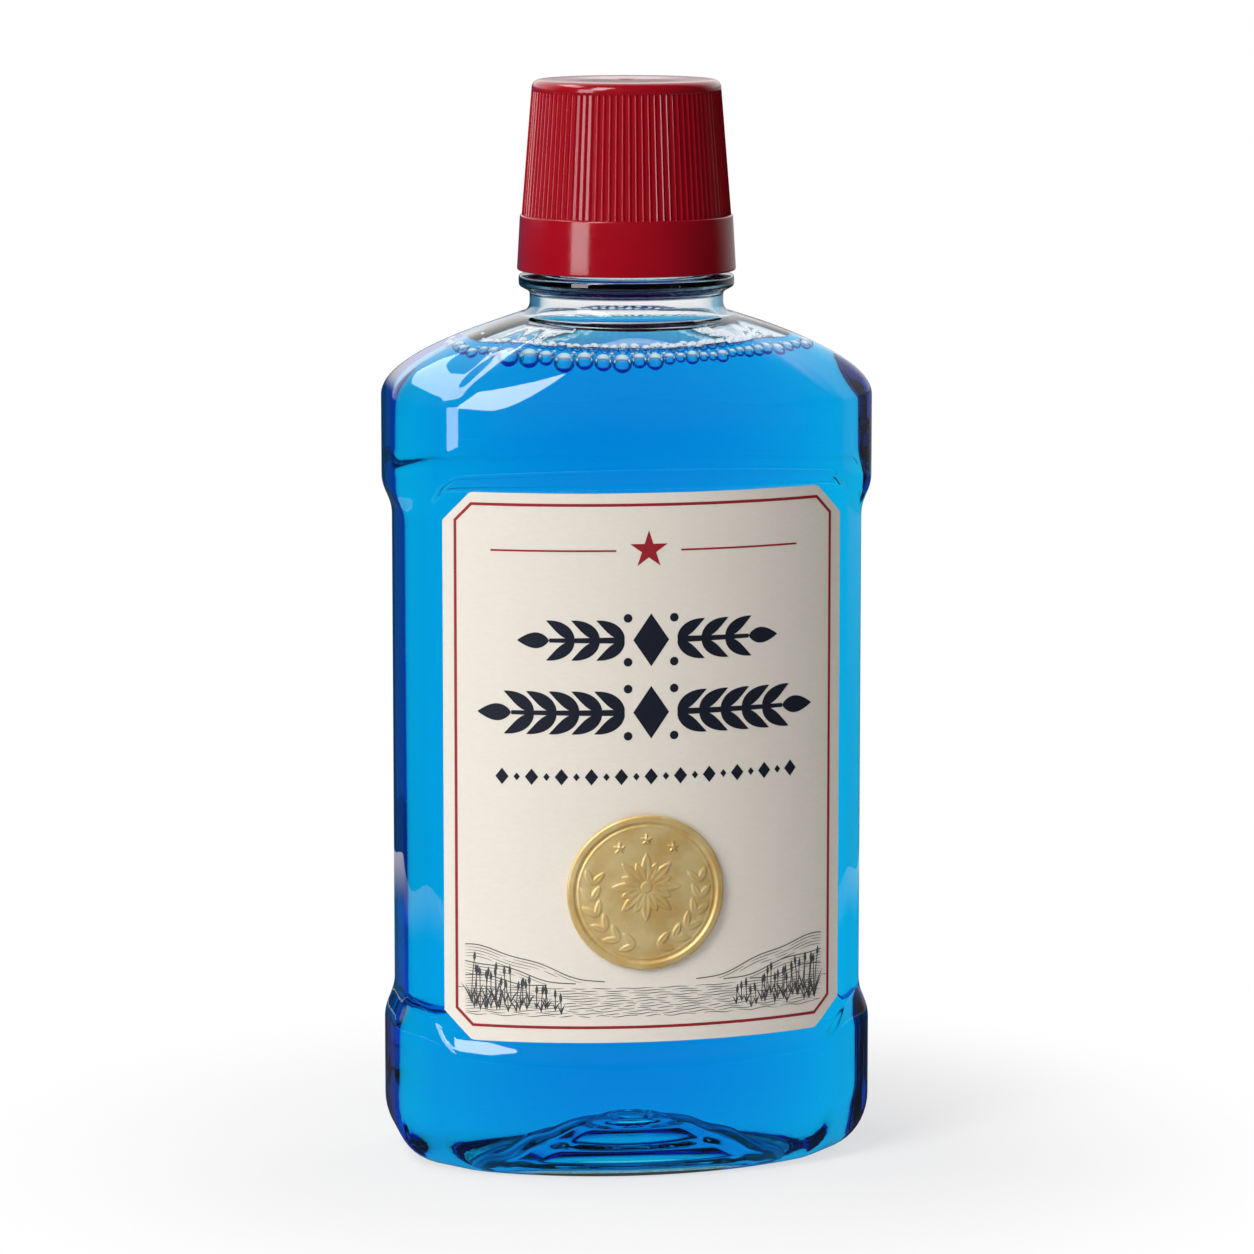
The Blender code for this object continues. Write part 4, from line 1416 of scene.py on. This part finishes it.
scenery = {
    "seed": 7,
    "half": 32.4,
    "water": (29.3, 34.2, 12),  # lowest and highest line, and how many
    "waterWide": 0.12,
    "ripple": (0.14, 0.6, 1.3),  # height, how much of it is lost at the top line, closeness
    "strokes": (2.0, 8.0),
    "shortest": 1.2,
    "gaps": (0.3, 1.4),
    "strokeStep": 0.6,
    "strokeTip": 0.03,
    # height at the sides and inward, and where each dune runs out
    "dunes": ((41.4, 35.0, 8.0), (38.6, 34.7, 13.0), (36.2, 34.5, 18.0)),
    "duneWide": 0.17,
    "duneRise": (0.9, 0.1),  # slope, and how far on it starts
    "duneWaves": (0.25, 0.55),  # height and closeness
    "duneSteps": 40,
    "hatching": (4, 4.0, 0.52, 0.6),  # lines, the step outward and down, and width of a dune's
    "reeds": 24,  # on each side
    "reedFrom": 15.0,
    "reedTo": 31.6,
    "reedStray": 0.8,
    "reedPowers": (0.8, 1.4),  # how they crowd, and how late they grow tall
    "reedTall": (3.0, 8.4),  # inward and at the sides
    "reedShares": (0.7, 1.0),
    "reedFoot": (0.2, 2.2),
    "reedLean": 0.08,
    "reedWide": 0.16,
    "reedHead": (0.3, 1.7, 0.5),  # how far it reaches down the stem, length, width
    "blades": (0.45, 0.8),  # length, of the reed's
    "bladeLean": (0.08, 0.24),
    "bladeBend": (0.1, 0.4),
    "bladeWide": 0.24,
}


def brokenLine(chance, start, end, height, wide):
    # a fine engraved line with gaps
    parts = []
    along = start
    while along < end - 1:
        stop = min(along + chance.uniform(*scenery["strokes"]), end)
        if stop - along > scenery["shortest"]:
            run = shares(max(4, round((stop - along) / scenery["strokeStep"])))
            path = [along + (stop - along) * s for s in run]
            widths = [max(scenery["strokeTip"], wide * math.sin(math.pi * s) ** 0.5) for s in run]
            parts.append(inkBand([(a, height(a)) for a in path], widths, 1))
        along = stop + chance.uniform(*scenery["gaps"])
    return parts


def dune(chance, way, side, inward, start):
    # its outline and the hatching under it
    half, wide = scenery["half"], scenery["duneWide"]
    slope, offset = scenery["duneRise"]
    high, close = scenery["duneWaves"]
    count, outward, down, thin = scenery["hatching"]

    def height(along):
        rise = (side - inward) * eased((abs(along) - start) / (half - start) * slope + offset)
        return inward + rise + high * math.sin(abs(along) * close + side)

    path = [start + (half - start) * t for t in shares(scenery["duneSteps"])]
    parts = [inkBand([(way * a, height(a)) for a in path], [wide] * len(path), 1)]
    for k in range(1, count + 1):
        ends = sorted((way * (start + outward * k), way * half))
        parts += brokenLine(chance, *ends, lambda a: height(a) - down * k, thin * wide)
    return parts


def reed(chance, foot, tall):
    # a stem with a seed head, and blades from its foot
    lean = chance.uniform(-scenery["reedLean"], scenery["reedLean"])
    stem = [(foot[0] + lean * tall * t**2, foot[1] + tall * t) for t in shares(6)]
    parts = [inkBand(stem, [scenery["reedWide"]] * len(stem), 1)]
    down, long, wide = scenery["reedHead"]
    parts.append(leaf((stem[-1][0], stem[-1][1] - down), quarterTurn - lean, long, wide))
    for way in (1, -1):
        long = tall * chance.uniform(*scenery["blades"])
        angle = quarterTurn - way * chance.uniform(*scenery["bladeLean"])
        bend = -way * chance.uniform(*scenery["bladeBend"])
        parts.append(leaf(foot, angle, long, scenery["bladeWide"], bend))
    return parts


def greyParts():
    # still water, dunes behind it, and reeds at both sides
    chance = random.Random(scenery["seed"])
    half, start = scenery["half"], scenery["reedFrom"]
    low, high, count = scenery["water"]
    deep, lost, close = scenery["ripple"]
    parts = []
    for k, t in enumerate(shares(count - 1)):
        z, ripple = low + (high - low) * t, deep * (1 - lost * t)
        parts += brokenLine(
            chance, -half, half, lambda a: z + ripple * math.sin(a * close + k * close),
            scenery["waterWide"],
        )
    crowding, growth = scenery["reedPowers"]
    lowReed, highReed = scenery["reedTall"]
    for way in (1, -1):
        for settings in scenery["dunes"]:
            parts += dune(chance, way, *settings)
        for k in range(scenery["reeds"]):
            share = ((k + chance.uniform(0, scenery["reedStray"])) / scenery["reeds"]) ** crowding
            tall = lowReed + (highReed - lowReed) * share**growth
            tall *= chance.uniform(*scenery["reedShares"])
            foot = way * (start + (scenery["reedTo"] - start) * share)
            parts += reed(chance, (foot, low + chance.uniform(*scenery["reedFoot"])), tall)
    return parts


addPrint("grey", greyParts())
print("label is printed")


# Foil seal

foil = {
    "at": (-0.9, 51.1),
    "radius": 13.6,
    "stand": 0.8,
    "thick": 0.35,
    "mesh": (300, 96),  # sides and rings
    "rimWide": 1.25,
    "rimHigh": 0.3,
    "rimSlopes": ((0.1, 0.25), (0.05, 0.3)),  # inner and outer: how far out, how wide
    # lines inside the rim: how far in, width, height
    "lines": ((0.35, 0.16, -0.10), (0.75, 0.14, 0.08)),
    "plain": 0.9,  # nothing is embossed this near to the rim
    "relief": 0.24,
    "wreathRadius": 9.4,
    "wreathAngles": (6, -78, 17.5),  # pairs of leaves on a branch, the first angle, the step
    "wreathLeans": (0.62, -0.55),
    "wreathLeaf": (3.0, 1.25),  # length, width
    "leafPowers": (0.85, 0.8),  # how far up a leaf is widest, and how pointed it is
    "vein": (0.55, 0.45, 0.3),  # a leaf's height in its vein, the rest, and the vein's width
    "rosetteAt": (0.0, 1.0),
    "rosetteRadius": 1.0,  # where its leaves start
    "rosetteLeaves": 16,
    "rosetteLengths": (5.0, 3.6),
    "rosetteWide": 1.9,
    "button": (1.25, 0.5),  # radius and slope
    "stars": ((-4.6, 7.9), (0.0, 9.3), (4.6, 7.9)),
    "starRadius": 1.25,
    "starWaist": (0.40, 2.2),  # of its radius, and how sharp its points are
    "starSlope": 0.3,  # at its edge, of its radius
    "colours": ((0.88, 0.58, 0.20), (1.0, 0.77, 0.36)),
    "mottle": (220, 6),
    "patchRange": (0, 1, 0.35, 0.65),
    "roughness": (0.42, 0.60),
    "smears": (500, 5),
    "grain": (1800, 5, 0.00006, 0.6),
    "metallic": 0.55,
}


def leafHeight(x, y, foot, angle, long, wide):
    # height of an embossed leaf at this place, from 0 to 1, with a vein along it
    dx, dy = x - foot[0], y - foot[1]
    if max(abs(dx), abs(dy)) >= long:
        return 0
    along = (dx * math.cos(angle) + dy * math.sin(angle)) / long
    if not 0 < along < 1:
        return 0
    across = abs(-dx * math.sin(angle) + dy * math.cos(angle))
    late, full = foil["leafPowers"]
    half = wide / 2 * math.sin(math.pi * along**late) ** full
    if across >= half:
        return 0
    vein, rest, veinWide = foil["vein"]
    return math.sqrt(1 - (across / half) ** 2) * (vein + rest * eased(across / (veinWide * wide)))


def embossedLeaves():
    # two laurel branches that cross at the foot
    count, first, step = foil["wreathAngles"]
    out = foil["wreathRadius"]
    found = []
    for way in (1, -1):
        for k in range(count):
            angle = math.radians(first + step * k)
            foot = (way * out * math.cos(angle), out * math.sin(angle))
            for side in foil["wreathLeans"]:
                lean = angle + quarterTurn + side
                found.append((foot, lean if way > 0 else math.pi - lean, *foil["wreathLeaf"]))
    # and a rosette of long leaves with shorter ones between them
    count = foil["rosetteLeaves"]
    for k in range(count):
        angle = fullTurn * k / count + quarterTurn
        foot = outFrom(foil["rosetteAt"], angle, foil["rosetteRadius"])
        found.append((foot, angle, foil["rosetteLengths"][k % 2], foil["rosetteWide"]))
    return found


leafMarks = embossedLeaves()


def starHeight(x, y, middle):
    dx, dy = x - middle[0], y - middle[1]
    out, radius = math.hypot(dx, dy), foil["starRadius"]
    if out > radius:
        return 0
    waist, power = foil["starWaist"]
    angle = (math.atan2(dy, dx) - quarterTurn) % (fullTurn / 5)
    fold = abs(angle - fullTurn / 10) / (fullTurn / 10)
    edge = radius * (waist + (1 - waist) * fold**power)
    return eased((edge - out) / (foil["starSlope"] * radius))


def foilHeight(x, y):
    out, rimIn = math.hypot(x, y), foil["radius"] - foil["rimWide"]
    (inner, innerWide), (outer, outerWide) = foil["rimSlopes"]
    height = foil["rimHigh"] * eased((out - rimIn + inner) / innerWide)
    height *= eased((foil["radius"] - out + outer) / outerWide)
    for place, wide, high in foil["lines"]:
        height += high * math.exp(-(((out - rimIn + place) / wide) ** 2))
    if out < rimIn - foil["plain"]:
        radius, slope = foil["button"]
        marks = [eased((radius - math.dist((x, y), foil["rosetteAt"])) / slope)]
        marks += [leafHeight(x, y, *mark) for mark in leafMarks]
        marks += [starHeight(x, y, middle) for middle in foil["stars"]]
        height += foil["relief"] * max(marks)
    return height


def makeFoilSeal(finish):
    middleX, middleZ = foil["at"]
    radius, back = foil["radius"], foil["stand"]
    sides, rings = foil["mesh"]

    def ring(out, lift, embossed):
        row = []
        for x, y, _ in circle(out, 0, sides):
            extra = foilHeight(x, y) if embossed else 0
            row.append(onLabel(middleX + x, middleZ + y, lift + extra))
        return row

    rows = [ring(radius / 2, back, False), ring(radius, back, False)]
    rows += [ring(radius * (1 - k / rings), back + foil["thick"], True) for k in range(rings)]
    addPiece("foilSeal", [loft(rows)], finish, "bottle", ["foil_seal"], sharp=60)


goldFoil, tree, shader = newFinish("goldFoil", {"Metallic": foil["metallic"]})
patches = ranged(tree, noiseField(tree, *foil["mottle"]), *foil["patchRange"])
addVariety(tree, shader, patches, foil)
makeFoilSeal(goldFoil)
print("foil seal is embossed")


# Froth on the mouthwash

def makeFroth(finish, bubbles):
    # each bubble is a thin film: an outer ball and the air inside it, with a painted highlight on the
    # outer ball's top
    outerSides, innerSides = foam["frothSides"]
    parts, lights = [], []
    for middle, radius in bubbles:
        outer = ball(middle, radius, *outerSides)
        inner = ball(middle, radius * (1 - foam["film"]), *innerSides)
        parts += [outer, turnedOut(inner)]
        lights += paintedTopLights(outer[0], middle, radius) + [0.0] * len(inner[0])
    piece = addPiece("bubbleRing", parts, finish, "bottle", ["bubble_ring"])
    setPaintedTopLights(piece, lights)


bubbleFilm, tree, clear = clearFinish("bubbleFilm", mouthwash["bends"], foam["waves"])
# the tops of the froth glow with a painted highlight
paintTopHighlights(tree, clear)
makeFroth(bubbleFilm, frothBubbles())
print("bubbles are afloat")
